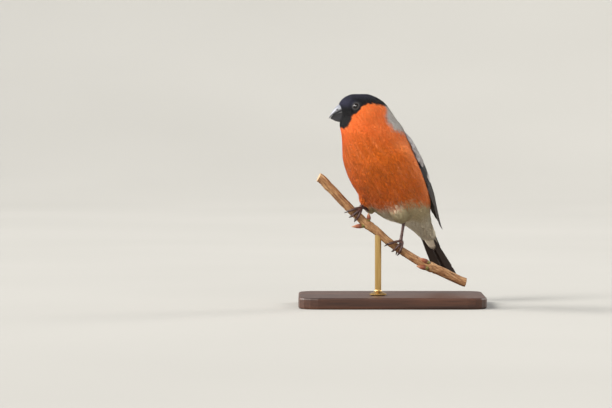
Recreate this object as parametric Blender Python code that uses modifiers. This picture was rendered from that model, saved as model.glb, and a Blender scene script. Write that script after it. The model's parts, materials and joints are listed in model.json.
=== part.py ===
"""A male bullfinch, life size, gripping a cut length of twig that a plain stand holds up.

Run with: blender --background --python part.py

Sizes in the tables below are millimetres and degrees. The model is in metres, +Z up, with its origin
in the middle of the stand's underside. The body heads 36 degrees to the left of -Y and leans 42
degrees forward of upright, and the head is turned to its own right, so that the bill points along -X.
"""

import math

import bmesh
import bpy
from mathutils import Matrix, Vector

MM = 0.001
# Clearance between neighbouring pieces, and the same with an allowance for flat faces on round forms.
GAP = 0.3
ROOM = 0.4

# The body's axis: where its middle is, which way it heads and how far it leans.
BODY_MIDDLE = Vector((0.0, -7.0, 80.0))
BODY_HEADING = 36.0
BODY_TILT = 42.0

# Torso rings, square to the body's axis: distance along the axis (tail end first), shift towards the
# back, turn and lean added on the way to the neck, depth to the belly, depth to the back, half width.
TORSO_RINGS = (
    (-57.0, 4.9, 0.0, 0.0, 2.3, 2.4, 5.3),
    (-48.0, 4.4, 0.0, 0.0, 4.4, 4.2, 7.4),
    (-38.0, 3.4, 0.0, 0.0, 7.6, 7.0, 10.4),
    (-30.0, 2.4, 0.0, 0.0, 12.0, 10.0, 14.0),
    (-22.0, 1.4, 0.0, 0.0, 17.0, 13.8, 18.0),
    (-12.0, 0.0, 0.0, 0.0, 19.8, 17.5, 21.3),
    (1.0, 0.0, 0.0, 0.0, 22.5, 20.0, 23.3),
    (12.0, 0.0, 0.0, -3.0, 23.2, 20.5, 24.0),
    (22.0, 1.0, 3.0, -9.0, 22.6, 20.0, 23.3),
)

# Neck and head rings: centre, heading, tilt, depth to the front, depth to the back, half width, and
# how far the ring narrows towards the bill.
HEAD_RINGS = (
    ((-10.2, -20.0, 101.0), 48.0, 24.0, 22.0, 19.0, 20.8, 0.0),
    ((-12.0, -23.5, 109.0), 62.0, 12.0, 20.2, 18.0, 17.5, 0.05),
    ((-14.5, -25.0, 114.5), 78.0, 4.0, 18.4, 17.4, 15.0, 0.2),
    ((-16.5, -25.5, 119.0), 90.0, 0.0, 16.2, 17.0, 13.9, 0.32),
    ((-17.5, -25.5, 123.5), 90.0, 0.0, 16.3, 15.0, 13.0, 0.34),
    ((-18.5, -25.5, 127.0), 90.0, 0.0, 14.0, 12.9, 11.3, 0.28),
    ((-19.5, -25.5, 130.0), 90.0, 0.0, 10.0, 9.2, 8.5, 0.15),
    ((-20.0, -25.5, 131.8), 90.0, 0.0, 5.4, 5.2, 4.9, 0.05),
)
CROWN_RISE = 0.7
RING_SIDES = 28
# Where the folded wings lie the torso is flatter: depth, angles round from the belly between which it
# sets in and fades out, and the same along the rings.
SEAT_DEPTH = 2.2
SEAT_ANGLES = (90.0, 106.0, 158.0, 174.0)
SEAT_RINGS = (0.4, 2.0, 8.0, 9.4)
# Ring numbers at which the torso ends and the neck ends.
TORSO_END = 8.55
NECK_END = 10.5
# How many rings each piece is lofted through.
TORSO_ROWS = 20
NECK_ROWS = 7
HEAD_ROWS = 12
TRUNK_ROWS = 19

# Eye: ball radius, how deep its middle lies under the plumage, and the lids around it.
EYE_LEVEL = 124.6
EYE_FORWARD_ANGLE = 72.0
EYE_RADIUS = 2.9
EYE_DEPTH = 2.25
EYE_SEGMENTS = 12
LID_RADIUS = 2.4
LID_THICKNESS = 0.46
LID_LEVEL = 2.3
LID_SEGMENTS = (16, 5)

# Bill: where its base is, how far it points down, and its sections from base to tip.
BILL_BASE = Vector((-31.3, -25.5, 119.7))
BILL_DROOP = 19.0
# For each section: distance along the bill, cutting edge, ridge, half width at the cutting edge.
UPPER_BILL = (
    (-3.2, 1.7, 6.0, 4.9),
    (-1.0, 1.75, 6.1, 4.8),
    (1.0, 1.7, 5.75, 4.4),
    (3.0, 1.5, 4.75, 3.75),
    (5.0, 1.15, 3.4, 2.75),
    (6.8, 0.7, 1.9, 1.6),
    (7.9, 0.1, 0.75, 0.7),
    (8.4, -0.35, 0.0, 0.25),
)
LOWER_BILL = (
    (-4.2, 1.4, -4.9, 4.9),
    (-1.5, 1.45, -5.1, 4.7),
    (1.0, 1.4, -4.9, 4.2),
    (3.0, 1.2, -4.2, 3.5),
    (5.0, 0.85, -3.0, 2.5),
    (6.4, 0.4, -1.6, 1.5),
    (7.4, -0.2, -0.75, 0.6),
)
BILL_SIDES = 12
BILL_ROUNDNESS = 0.85
NOSTRIL_AT = (1.9, 3.3, 3.75)
NOSTRIL_RADIUS = 0.55
NOSTRIL_SEGMENTS = 8

# The surface that the wing's feathers lie on, square to the body's axis: distance along the axis,
# shift towards the back, half width, depth to the back.
WING_RINGS = (
    (-60.0, 7.4, 10.6, 3.4),
    (-48.0, 6.0, 12.0, 5.6),
    (-36.0, 3.8, 15.2, 10.0),
    (-24.0, 1.6, 18.8, 14.5),
    (-12.0, 0.3, 21.2, 16.8),
    (0.0, 0.0, 22.2, 18.4),
    (12.0, 0.3, 22.0, 18.4),
    (24.0, 2.6, 20.0, 16.4),
    (36.0, 6.0, 16.0, 12.0),
)
# The wing's feathers, in tiers from the lowest layer up: how many, then for the lowest and the
# highest feather of the tier: where the root is (along, angle up from the belly), where the tip is,
# and the half width. Last comes the lift of the tier.
WING_TIERS = {
    "primary": (7, (4.0, 101.0), (-51.0, 117.0), 3.2, (1.0, 118.0), (-37.0, 136.0), 3.6, 0.0),
    "secondary": (5, (0.0, 120.0), (-34.0, 139.0), 3.8, (0.0, 134.0), (-29.5, 151.0), 4.1, 0.35),
    "tertial": (3, (0.0, 141.0), (-27.0, 153.0), 4.3, (2.0, 157.0), (-17.0, 167.0), 4.8, 0.7),
    "primary_covert": (2, (11.0, 99.0), (-11.0, 103.0), 2.8, (11.0, 106.0), (-9.0, 111.0), 2.9, 0.55),
    "greater_covert": (5, (8.0, 111.0), (-10.5, 117.0), 3.9, (8.0, 150.0), (-6.0, 158.0), 4.3, 0.85),
    "median_covert": (4, (13.5, 108.0), (-0.5, 112.0), 4.2, (13.0, 146.0), (2.0, 152.0), 4.5, 1.3),
    "lesser_covert": (4, (19.0, 107.0), (6.5, 110.0), 4.1, (19.0, 142.0), (8.0, 147.0), 4.5, 1.5),
    "scapular": (3, (19.0, 151.0), (3.0, 155.0), 3.9, (19.0, 165.0), (-4.0, 169.0), 4.2, 1.5),
}
VANE_THICKNESS = 0.55
TIP_THINNING = 0.75
# How far a feather's covered edge dips under the next one.
VANE_DIP = 0.75
# Share of the length, and share of the width there.
VANE_OUTLINE = ((0.0, 0.5), (0.5, 1.0), (0.86, 0.86), (1.0, 0.35))
# Wing core: along the axis, angles from its lower to its upper edge, lift of its middle.
CORE_ALONG = (22.0, 17.0, 8.0, 0.0, -8.0, -16.0, -22.0)
CORE_LOW = (114.0, 104.0, 98.0, 98.0, 102.0, 109.0, 118.0)
CORE_HIGH = (150.0, 162.0, 166.0, 168.0, 168.0, 166.0, 158.0)
CORE_LIFT = (0.5, 1.3, 1.2, 0.8, 0.3, 0.1, 0.0)
CORE_COLUMNS = 6
CORE_DEPTH = 2.0

# Tail: twelve feathers, each side from the middle outwards by a rule, and coverts over their roots.
TAIL_ROOT = -57.0
TAIL_SHIFT = 4.9
TAIL_PAIRS = 6
TAIL_LENGTH = 29.0
TAIL_FORK = 3.0
TAIL_HALF_WIDTH = 3.4
TAIL_LIFT = 0.9
TAIL_STEP = 0.34
TAIL_SIDE_STEP = 0.17
TAIL_TILT = 0.14
TAIL_ARCH = 0.02
# Distance of a tail feather's middle from the tail's: of the first pair, and of each pair further
# out, at the root and at the tip.
TAIL_ROOT_SPREAD = (0.5, 0.51)
TAIL_TIP_SPREAD = (1.0, 0.82)
# Share of a tail feather's length, and share of its width there.
RECTRIX_OUTLINE = ((-0.04, 0.62), (0.3, 0.85), (0.65, 1.0), (0.9, 0.86), (1.0, 0.45))
# The tail's root: distance from the torso's end, half depth, half width.
TAIL_CORE = ((0.3, 2.1, 5.0), (5.0, 1.4, 5.0), (9.0, 0.6, 4.0))
TAIL_SIDES = 12
RIDGE = 0.2
# Tail coverts: how many, reach, half width and how far they stand off the feathers, above and below.
TAIL_COVERTS = {"upper_tail_covert": (3, 10.5, 2.7, 2.2), "under_tail_covert": (3, 7.0, 2.5, -2.4)}

# Twig: centre line (x, z) and radius from its upper to its lower end, and its drift in depth.
TWIG_LINE = (
    (-45.5, 80.6, 2.9),
    (-39.7, 75.0, 2.85),
    (-28.5, 63.6, 2.75),
    (-20.0, 55.6, 2.65),
    (-14.5, 50.6, 2.8),
    (-13.0, 49.3, 2.75),
    (-1.9, 40.4, 2.45),
    (8.1, 33.4, 2.5),
    (19.8, 26.6, 2.75),
    (24.0, 24.6, 3.2),
    (27.0, 23.2, 3.0),
    (36.0, 19.1, 2.9),
    (46.0, 14.8, 2.85),
)
TWIG_DEPTH = -12.5
TWIG_DEPTH_SLOPE = 0.15
TWIG_POINTS = 26

# Buds: foot on the twig (x, z), tip (x, z), depth of foot and tip from the twig's line, radius.
BUDS = (
    ((-16.6, 50.4), (-25.2, 49.9), -1.2, -2.6, 1.35),
    ((-14.3, 53.2), (-14.6, 58.6), -1.4, -2.6, 1.2),
    ((24.0, 26.6), (16.2, 30.4), -1.6, -3.2, 1.5),
    ((23.0, 23.6), (15.0, 25.4), -2.6, -4.0, 1.5),
)
BUD_PROFILE = ((0.0, 0.62), (0.18, 0.9), (0.42, 1.0), (0.68, 0.72), (0.88, 0.34), (1.0, 0.08))

# Legs: x of the foot on the twig, and the ankle.
FEET = {
    "left": (3.6, Vector((6.8, -11.0, 53.6))),
    "right": (-22.4, Vector((-12.8, -4.6, 59.0))),
}
TARSUS_RADIUS = 0.95
ANKLE_RADIUS = 1.25
SHANK_POINTS = 7
# Where the shank leaves the foot: angle round the twig, height over the bark, length of the stub.
FOOT_ANGLE = -6.0
FOOT_RISE = 2.9
FOOT_NECK = 1.2
STUB_RADII = (1.1, 1.15, 0.95)
PAD_RADIUS = 1.35
PAD_RISE = 1.5
PAD_SEGMENTS = 8
TOE_RADIUS = 0.85
TOE_RISE = 1.25
TOE_ARCH = 0.25
# Shares of the toe's radius at its pads, between them and at its end.
TOE_SWELL = 1.1
TOE_WAIST = 0.93
TOE_END = 0.78
# Toes: drift along the twig, start and end angle round it from its upper side (towards the front).
TOES = {
    "left": {
        "1": (1.2, -8.0, -128.0),
        "2": (-5.6, 6.0, 112.0),
        "3": (-1.4, 10.0, 138.0),
        "4": (1.7, 12.0, 128.0),
    },
    "right": {
        "1": (1.6, -8.0, -128.0),
        "2": (1.4, 12.0, 122.0),
        "3": (-1.2, 10.0, 136.0),
        "4": (-3.8, 6.0, 116.0),
    },
}
TOE_POINTS = 7
# Claws: radius at the root and at the tip, angle round the twig, and how they sink and hook out again.
CLAW_RADIUS = 0.63
CLAW_TIP = 0.1
CLAW_START = 6.0
CLAW_SWEEP = 46.0
CLAW_SINK = 0.3
CLAW_HOOK = 0.9
CLAW_POINTS = 6
# Feathered thigh: share of its length from the ankle, and radius there; then the way it runs.
THIGH_PROFILE = ((0.0, 0.9), (0.06, 2.2), (0.2, 4.0), (0.42, 5.4), (0.66, 5.4), (0.86, 4.0), (1.0, 2.0))
THIGH_LENGTH = 19.0
THIGH_DROP = 2.0
THIGH_WAY = Vector((-0.36, -0.5, 0.79))
THIGH_ROUNDNESS = 5

# Stand.
BASE_SIZE = (116.0, 95.0, 7.0)
BASE_CORNER = 12.0
BASE_CORNER_POINTS = 5
BASE_BEVEL = 1.2
ROD_X = -8.6
ROD_RADIUS = 2.0
ROD_ROUNDNESS = 4
COLLAR_RADII = (5.0, 4.0)
COLLAR_HEIGHT = 2.4


# Scene and materials.

def clear_scene():
    for item in list(bpy.data.objects):
        bpy.data.objects.remove(item)


def new_collection(name):
    made = bpy.data.collections.new(name)
    bpy.context.scene.collection.children.link(made)
    return made


def new_material(name, colour, roughness, metallic=0.0):
    made = bpy.data.materials.new(name)
    made.use_nodes = True
    shader = made.node_tree.nodes["Principled BSDF"]
    shader.inputs["Base Color"].default_value = (*colour, 1.0)
    shader.inputs["Roughness"].default_value = roughness
    shader.inputs["Metallic"].default_value = metallic
    return made


# Meshes from rings and rows.

def new_object(name, points, faces, group):
    """An object from points in millimetres. Its faces are turned to point out."""
    mesh = bpy.data.meshes.new(name)
    mesh.from_pydata([p * MM for p in points], [], faces)
    form = bmesh.new()
    form.from_mesh(mesh)
    bmesh.ops.recalc_face_normals(form, faces=form.faces)
    form.to_mesh(mesh)
    form.free()
    made = bpy.data.objects.new(name, mesh)
    group.objects.link(made)
    return made


def loft(name, rings, group, tip=None):
    """A closed solid through rings of equal count. A tip point closes the far end in place of a flat face."""
    sides = len(rings[0])
    points = [p for ring in rings for p in ring]
    faces = []
    for row in range(len(rings) - 1):
        for k in range(sides):
            near, far = row * sides, (row + 1) * sides
            nxt = (k + 1) % sides
            faces.append((near + k, near + nxt, far + nxt, far + k))
    faces.append(tuple(range(sides)))
    last = (len(rings) - 1) * sides
    if tip is None:
        faces.append(tuple(last + k for k in range(sides)))
    else:
        points.append(tip)
        faces.extend((last + k, last + (k + 1) % sides, len(points) - 1) for k in range(sides))
    return new_object(name, points, faces, group)


def frame_of(heading, tilt):
    """Unit vectors to the front, to the left and along the axis, for a ring's heading and tilt."""
    turn, lean = math.radians(heading), math.radians(tilt)
    front = Vector((-math.sin(turn) * math.cos(lean), -math.cos(turn) * math.cos(lean), -math.sin(lean)))
    left = Vector((math.cos(turn), -math.sin(turn), 0.0))
    up = Vector((-math.sin(turn) * math.sin(lean), -math.cos(turn) * math.sin(lean), math.cos(lean)))
    return front, left, up


BODY_FRONT, BODY_LEFT, BODY_UP = frame_of(BODY_HEADING, BODY_TILT)


def on_body(along, back=0.0, left=0.0):
    """A point given along the body's axis, towards the back and to the left."""
    return BODY_MIDDLE + BODY_UP * along - BODY_FRONT * back + BODY_LEFT * left


def smooth(values, place):
    """A smooth curve through equally spaced tuples, read at a ring number."""
    low = min(int(place), len(values) - 2)
    part = place - low
    before, start = values[max(low - 1, 0)], values[low]
    end, after = values[low + 1], values[min(low + 2, len(values) - 1)]
    made = []
    for a, b, c, d in zip(before, start, end, after):
        made.append(0.5 * (2 * b + (c - a) * part + (2 * a - 5 * b + 4 * c - d) * part**2
                           + (3 * b - a - 3 * c + d) * part**3))
    return made


def body_rings():
    """Every ring of the body as one tuple: centre, heading, tilt, front, back, half width, narrowing."""
    made = []
    for along, shift, turn, lean, front, back, width in TORSO_RINGS:
        made.append((*on_body(along, shift), BODY_HEADING + turn, BODY_TILT + lean, front, back, width, 0.0))
    for centre, heading, tilt, front, back, width, narrowing in HEAD_RINGS:
        made.append((*centre, heading, tilt, front, back, width, narrowing))
    return made


BODY_RINGS = body_rings()
LAST_RING = len(BODY_RINGS) - 1


def ease(value, start, end):
    """0 up to start, 1 from end on, and smooth between."""
    share = min(max((value - start) / (end - start), 0.0), 1.0)
    return share * share * (3.0 - 2.0 * share)


def seat(place, angle):
    """How far the torso is flattened under a folded wing."""
    round_belly = abs((math.degrees(angle) + 180.0) % 360.0 - 180.0)
    across = ease(round_belly, *SEAT_ANGLES[:2]) * (1.0 - ease(round_belly, *SEAT_ANGLES[2:]))
    along = ease(place, *SEAT_RINGS[:2]) * (1.0 - ease(place, *SEAT_RINGS[2:]))
    return SEAT_DEPTH * across * along


def body_point(place, angle, grow=0.0, shift=0.0):
    """A point of the plumage: ring number, angle from the front round to the left, and how much larger."""
    x, y, z, heading, tilt, front, back, width, narrowing = smooth(BODY_RINGS, place)
    ahead, left, up = frame_of(heading, tilt)
    c, s = math.cos(angle), math.sin(angle)
    grow -= seat(place, angle)
    depth = (front if c > 0 else back) + grow
    side = (width + grow) * (1.0 - narrowing * max(c, 0.0) ** 1.5)
    return Vector((x, y, z)) + ahead * (c * depth) + left * (s * side) + up * shift


def body_ring(place, grow=0.0, shift=0.0):
    return [body_point(place, math.tau * k / RING_SIDES, grow, shift) for k in range(RING_SIDES)]


def steps(first, last, count):
    return [first + (last - first) * k / (count - 1) for k in range(count)]


def crown_tip():
    x, y, z = BODY_RINGS[-1][:3]
    return Vector((x, y, z + CROWN_RISE))


def trunk_room(name, group, grow):
    """The torso and neck as one solid, grown by a clearance, for cutting what lies against them."""
    rings = [body_ring(place, grow) for place in steps(0.0, NECK_END, TRUNK_ROWS)]
    rings[0] = body_ring(0.0, grow, -grow)
    return loft(name, rings, group)


# Joining and cutting.

def settle(target):
    """Applies the object's modifiers."""
    graph = bpy.context.evaluated_depsgraph_get()
    target.data = bpy.data.meshes.new_from_object(target.evaluated_get(graph))
    target.modifiers.clear()


def keep_largest(target):
    """Leaves only the largest closed surface of the object."""
    form = bmesh.new()
    form.from_mesh(target.data)
    waiting, islands = set(form.faces), []
    while waiting:
        front, island = [waiting.pop()], []
        while front:
            face = front.pop()
            island.append(face)
            near = {f for edge in face.edges for f in edge.link_faces} & waiting
            waiting -= near
            front.extend(near)
        islands.append(island)
    islands.sort(key=lambda island: sum(face.calc_area() for face in island))
    for island in islands[:-1]:
        bmesh.ops.delete(form, geom=island, context="FACES")
    form.to_mesh(target.data)
    form.free()


def combine(target, others, operation):
    """One Boolean of the target with a collection of closed meshes, which are then removed."""
    if not others:
        return target
    group = new_collection("tools")
    for other in others:
        for old in list(other.users_collection):
            old.objects.unlink(other)
        group.objects.link(other)
    boolean = target.modifiers.new(operation, "BOOLEAN")
    boolean.operation = operation
    boolean.operand_type = "COLLECTION"
    boolean.collection = group
    boolean.solver = "MANIFOLD"
    bpy.context.view_layer.update()
    settle(target)
    for other in others:
        bpy.data.objects.remove(other)
    bpy.data.collections.remove(group)
    return target


def join(pieces):
    return combine(pieces[0], pieces[1:], "UNION")


def cut(target, cutters):
    return combine(target, cutters, "DIFFERENCE")


def welded_mesh(guide):
    """The closed mesh of a curve object, which is then removed."""
    bpy.context.view_layer.update()
    graph = bpy.context.evaluated_depsgraph_get()
    mesh = bpy.data.meshes.new_from_object(guide.evaluated_get(graph))
    bpy.data.objects.remove(guide)
    form = bmesh.new()
    form.from_mesh(mesh)
    bmesh.ops.remove_doubles(form, verts=form.verts, dist=1e-6)
    bmesh.ops.recalc_face_normals(form, faces=form.faces)
    form.to_mesh(mesh)
    form.free()
    return mesh


def tube(name, points, radii, group, resolution=2):
    """A closed round tube through points in millimetres, with a radius at each."""
    line = bpy.data.curves.new(name, "CURVE")
    line.dimensions = "3D"
    line.bevel_depth = MM
    line.bevel_resolution = resolution
    line.use_fill_caps = True
    spline = line.splines.new("POLY")
    spline.points.add(len(points) - 1)
    for knot, place, radius in zip(spline.points, points, radii):
        knot.co = (*(place * MM), 1.0)
        knot.radius = radius
    guide = bpy.data.objects.new(name + "_line", line)
    group.objects.link(guide)
    made = bpy.data.objects.new(name, welded_mesh(guide))
    group.objects.link(made)
    return made


def placed(mesh, name, centre, axis, group):
    """An object whose mesh, made about the origin along Z, is set at a point and along an axis."""
    turn = axis.to_track_quat("Z", "Y").to_matrix().to_4x4()
    mesh.transform(Matrix.Translation(centre * MM) @ turn)
    made = bpy.data.objects.new(name, mesh)
    group.objects.link(made)
    return made


def ball(name, centre, radius, group, segments, axis=Vector((0.0, 0.0, 1.0))):
    mesh = bpy.data.meshes.new(name)
    form = bmesh.new()
    bmesh.ops.create_uvsphere(form, u_segments=segments, v_segments=segments * 3 // 4, radius=radius * MM)
    form.to_mesh(mesh)
    form.free()
    return placed(mesh, name, centre, axis, group)


def torus(name, centre, axis, radius, thickness, group):
    around, across = LID_SEGMENTS
    bpy.ops.mesh.primitive_torus_add(major_segments=around, minor_segments=across,
                                     major_radius=radius * MM, minor_radius=thickness * MM)
    guide = bpy.context.object
    mesh = guide.data.copy()
    bpy.data.objects.remove(guide)
    return placed(mesh, name, centre, axis, group)


# Head.

def bill_point(along, up, side):
    """A point of the bill: along it, square to it, and to the bird's left."""
    droop = math.radians(BILL_DROOP)
    ahead = Vector((-math.cos(droop), 0.0, -math.sin(droop)))
    over = Vector((-math.sin(droop), 0.0, math.cos(droop)))
    return BILL_BASE + ahead * along + over * up + Vector((0.0, -side, 0.0))


def jaw(name, sections, group, grow=0.0):
    """One jaw. A section is a half oval that stands on the flat cutting edge, up or down."""
    rings = []
    for along, edge, ridge, width in sections:
        sense = math.copysign(1.0, ridge - edge)
        base = edge - sense * grow
        height = abs(ridge - edge) + 2.0 * grow
        ring = []
        for k in range(BILL_SIDES):
            a = math.pi * k / (BILL_SIDES - 1)
            rise = math.sin(a) ** BILL_ROUNDNESS if 0 < k < BILL_SIDES - 1 else 0.0
            ring.append(bill_point(along, base + sense * rise * height, (width + grow) * math.cos(a)))
        rings.append(ring)
    return loft(name, rings, group)


def eye_place(side):
    """Middle of an eye and the way it looks out."""
    ring = next(k for k in range(len(BODY_RINGS)) if BODY_RINGS[k][2] > EYE_LEVEL) - 1
    place = ring + (EYE_LEVEL - BODY_RINGS[ring][2]) / (BODY_RINGS[ring + 1][2] - BODY_RINGS[ring][2])
    angle = side * math.radians(EYE_FORWARD_ANGLE)
    step = 0.03
    here = body_point(place, angle)
    along = body_point(place + step, angle) - body_point(place - step, angle)
    across = body_point(place, angle + step) - body_point(place, angle - step)
    out = across.cross(along).normalized()
    middle = Vector(BODY_RINGS[ring][:3])
    if out.dot(here - middle) < 0:
        out = -out
    return here - out * EYE_DEPTH, out


def build_head(parts, work):
    """Head with lids, sockets and room for the bill, then the eyes and both halves of the bill."""
    rings = [body_ring(NECK_END, 0.0, GAP / 2)]
    rings += [body_ring(place) for place in steps(NECK_END + 0.3, LAST_RING, HEAD_ROWS)]
    head = loft("head", rings, parts, crown_tip())
    made = {"head": head}
    lids, rooms = [], []
    for name, side in (("eye_left", 1), ("eye_right", -1)):
        centre, out = eye_place(side)
        lids.append(torus("lid", centre + out * LID_LEVEL, out, LID_RADIUS, LID_THICKNESS, work))
        rooms.append(ball("socket", centre, EYE_RADIUS + ROOM, work, EYE_SEGMENTS, out))
        made[name] = ball(name, centre, EYE_RADIUS, parts, EYE_SEGMENTS, out)
    join([head, *lids])
    rooms.append(jaw("upper_room", UPPER_BILL, work, GAP))
    rooms.append(jaw("lower_room", LOWER_BILL, work, GAP))
    cut(head, rooms)
    keep_largest(head)

    upper = jaw("bill_upper", UPPER_BILL, parts)
    along, rise, out = NOSTRIL_AT
    nostrils = [bill_point(along, rise, side * out) for side in (1, -1)]
    cut(upper, [ball("nostril", place, NOSTRIL_RADIUS, work, NOSTRIL_SEGMENTS) for place in nostrils])
    keep_largest(upper)
    made["bill_upper"] = upper
    made["bill_lower"] = jaw("bill_lower", LOWER_BILL, parts)
    return made


def build_neck(parts):
    rings = [body_ring(place) for place in steps(TORSO_END, NECK_END, NECK_ROWS)]
    rings[0] = body_ring(TORSO_END, 0.0, GAP / 2)
    rings[-1] = body_ring(NECK_END, 0.0, -GAP / 2)
    return loft("neck", rings, parts)


def build_torso(parts, thigh_rooms):
    rings = [body_ring(place) for place in steps(0.0, TORSO_END, TORSO_ROWS)]
    rings[-1] = body_ring(TORSO_END, 0.0, -GAP / 2)
    torso = loft("torso", rings, parts)
    cut(torso, thigh_rooms)
    keep_largest(torso)
    return torso


# Wings.

def wing_point(along, angle, lift, side):
    """A point over the surface that the wing lies on: along the axis, degrees up from the belly, lift."""
    low = 0
    while low < len(WING_RINGS) - 2 and WING_RINGS[low + 1][0] < along:
        low += 1
    part = (along - WING_RINGS[low][0]) / (WING_RINGS[low + 1][0] - WING_RINGS[low][0])
    _, shift, width, back = smooth(WING_RINGS, low + part)
    a = math.radians(angle)
    return on_body(along, shift - math.cos(a) * (back + lift), side * math.sin(a) * (width + lift))


def degrees_for(along, angle, distance):
    """How many degrees round the wing's surface a distance covers."""
    one_degree = (wing_point(along, angle + 1.0, 0.0, 1) - wing_point(along, angle, 0.0, 1)).length
    return distance / one_degree


def vane(name, rows, group):
    """A thin closed feather from rows of points and outward directions, split alike on both faces."""
    columns = len(rows[0])
    points = []
    for level in (0.0, 1.0):
        for number, row in enumerate(rows):
            thin = VANE_THICKNESS * (TIP_THINNING if number == len(rows) - 1 else 1.0)
            points.extend(place - out * (thin * level) for place, out in row)
    below = len(rows) * columns
    faces = []
    for row in range(len(rows) - 1):
        for column in range(columns - 1):
            a = row * columns + column
            b, c, d = a + 1, a + columns + 1, a + columns
            faces += [(a, b, c), (a, c, d)]
            faces += [(a + below, c + below, b + below), (a + below, d + below, c + below)]
    rim = list(range(columns))
    rim += [row * columns + columns - 1 for row in range(1, len(rows))]
    rim += [(len(rows) - 1) * columns + column for column in range(columns - 2, -1, -1)]
    rim += [row * columns for row in range(len(rows) - 2, 0, -1)]
    for here, there in zip(rim, rim[1:] + rim[:1]):
        faces += [(here, here + below, there + below), (here, there + below, there)]
    return new_object(name, points, faces, group)


def wing_feather(name, root, tip, width, lift, side, group):
    rows = []
    for share, fullness in VANE_OUTLINE:
        along = root[0] + (tip[0] - root[0]) * share
        angle = root[1] + (tip[1] - root[1]) * share
        reach = degrees_for(along, angle, width * fullness)
        row = []
        for across in (-1.0, 1.0):
            height = lift + VANE_THICKNESS - VANE_DIP * (across * fullness + 1.0) / 2.0
            place = wing_point(along, angle + reach * across, height, side)
            above = wing_point(along, angle + reach * across, height + 1.0, side)
            row.append((place, (above - place).normalized()))
        rows.append(row)
    return vane(name, rows, group)


def wing_core(side, group):
    """The plate under the small coverts that holds every feather's root."""
    rows_top, rows_low = [], []
    for along, low, high, lift in zip(CORE_ALONG, CORE_LOW, CORE_HIGH, CORE_LIFT):
        top, under = [], []
        for column in range(CORE_COLUMNS + 1):
            share = column / CORE_COLUMNS
            angle = low + (high - low) * share
            crown = math.sin(math.pi * (0.12 + 0.76 * share))
            top.append(wing_point(along, angle, lift * crown, side))
            under.append(wing_point(along, angle, -CORE_DEPTH, side))
        rows_top.append(top)
        rows_low.append(under)
    rings = [top + under[::-1] for top, under in zip(rows_top, rows_low)]
    return loft("wing_core", rings, group)


def build_wing(name, side, parts, work):
    pieces = [wing_core(side, parts)]
    for tier, (count, root_a, tip_a, width_a, root_b, tip_b, width_b, lift) in WING_TIERS.items():
        for k in range(count):
            share = k / (count - 1)
            root = [a + (b - a) * share for a, b in zip(root_a, root_b)]
            tip = [a + (b - a) * share for a, b in zip(tip_a, tip_b)]
            width = width_a + (width_b - width_a) * share
            pieces.append(wing_feather(f"{tier}_{k}", root, tip, width, lift, side, work))
    wing = join(pieces)
    wing.name = name
    cut(wing, [trunk_room("trunk_room", work, ROOM)])
    keep_largest(wing)
    return wing


# Tail.

def tail_feather(pair, side, group):
    """One tail feather. The middle pair lies on top, and the right one over the left."""
    root, tip = [side * (first + pair * further) for first, further in (TAIL_ROOT_SPREAD, TAIL_TIP_SPREAD)]
    height = TAIL_SHIFT + TAIL_LIFT - pair * TAIL_STEP - (TAIL_SIDE_STEP if side > 0 else 0.0)
    length = TAIL_LENGTH + TAIL_FORK * (pair / (TAIL_PAIRS - 1)) ** 1.5
    rows = []
    for share, fullness in RECTRIX_OUTLINE:
        middle = root + (tip - root) * share
        row = []
        for across in (-1.0, 0.0, 1.0):
            arch = TAIL_ARCH * abs(middle + across * TAIL_HALF_WIDTH) ** 1.4
            ridge = RIDGE if across == 0.0 else 0.0
            up = height - arch + ridge - TAIL_TILT * across * side
            place = on_body(TAIL_ROOT - length * share, up, middle + across * TAIL_HALF_WIDTH * fullness)
            row.append((place, -BODY_FRONT))
        rows.append(row)
    return vane(f"rectrix_{pair}_{side}", rows, group)


def tail_covert(name, number, count, reach, width, stand, group):
    """A short feather over or under the tail's root."""
    middle = (number - (count - 1) / 2) * width * 1.35
    rows = []
    for share, fullness in VANE_OUTLINE:
        lift = abs(stand) * (1.0 - 0.45 * share) - 0.12 * number
        row = []
        for across in (-1.0, 0.0, 1.0):
            sideways = middle * (1.0 - 0.2 * share) + across * width * fullness
            height = TAIL_SHIFT + math.copysign(lift - 0.05 * sideways * sideways, stand)
            place = on_body(TAIL_ROOT - reach * share - 2.0 * GAP, height, sideways)
            row.append((place, BODY_FRONT * -math.copysign(1.0, stand)))
        rows.append(row)
    return vane(name, rows, group)


def build_tail(parts, work):
    """Twelve feathers on a flat oval root that meets the torso's end face to face."""
    rings = []
    for along, depth, width in TAIL_CORE:
        ring = []
        for k in range(TAIL_SIDES):
            a = math.tau * k / TAIL_SIDES
            ring.append(on_body(TAIL_ROOT - along, TAIL_SHIFT + depth * math.cos(a), width * math.sin(a)))
        rings.append(ring)
    pieces = [loft("tail", rings, parts)]
    for pair in range(TAIL_PAIRS):
        pieces.append(tail_feather(pair, 1, work))
        pieces.append(tail_feather(pair, -1, work))
    for name, (count, reach, width, stand) in TAIL_COVERTS.items():
        for number in range(count):
            pieces.append(tail_covert(f"{name}_{number}", number, count, reach, width, stand, work))
    tail = join(pieces)
    cut(tail, [trunk_room("trunk_room", work, ROOM)])
    keep_largest(tail)
    return tail


# Twig and buds.

def twig_at(x):
    """Centre, direction and radius of the twig at an x."""
    low = 0
    while low < len(TWIG_LINE) - 2 and TWIG_LINE[low + 1][0] < x:
        low += 1
    part = (x - TWIG_LINE[low][0]) / (TWIG_LINE[low + 1][0] - TWIG_LINE[low][0])
    _, z, radius = smooth(TWIG_LINE, low + part)
    return Vector((x, TWIG_DEPTH + TWIG_DEPTH_SLOPE * x, z)), radius


def twig_frame(x):
    """Centre, radius, direction along the twig, its upper side and its front side."""
    here, radius = twig_at(x)
    along = (twig_at(x + 0.5)[0] - twig_at(x - 0.5)[0]).normalized()
    front = (Vector((0.0, -1.0, 0.0)) - along * -along.y).normalized()
    upper = front.cross(along)
    if upper.z < 0:
        upper = -upper
    return here, radius, along, upper, front


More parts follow.
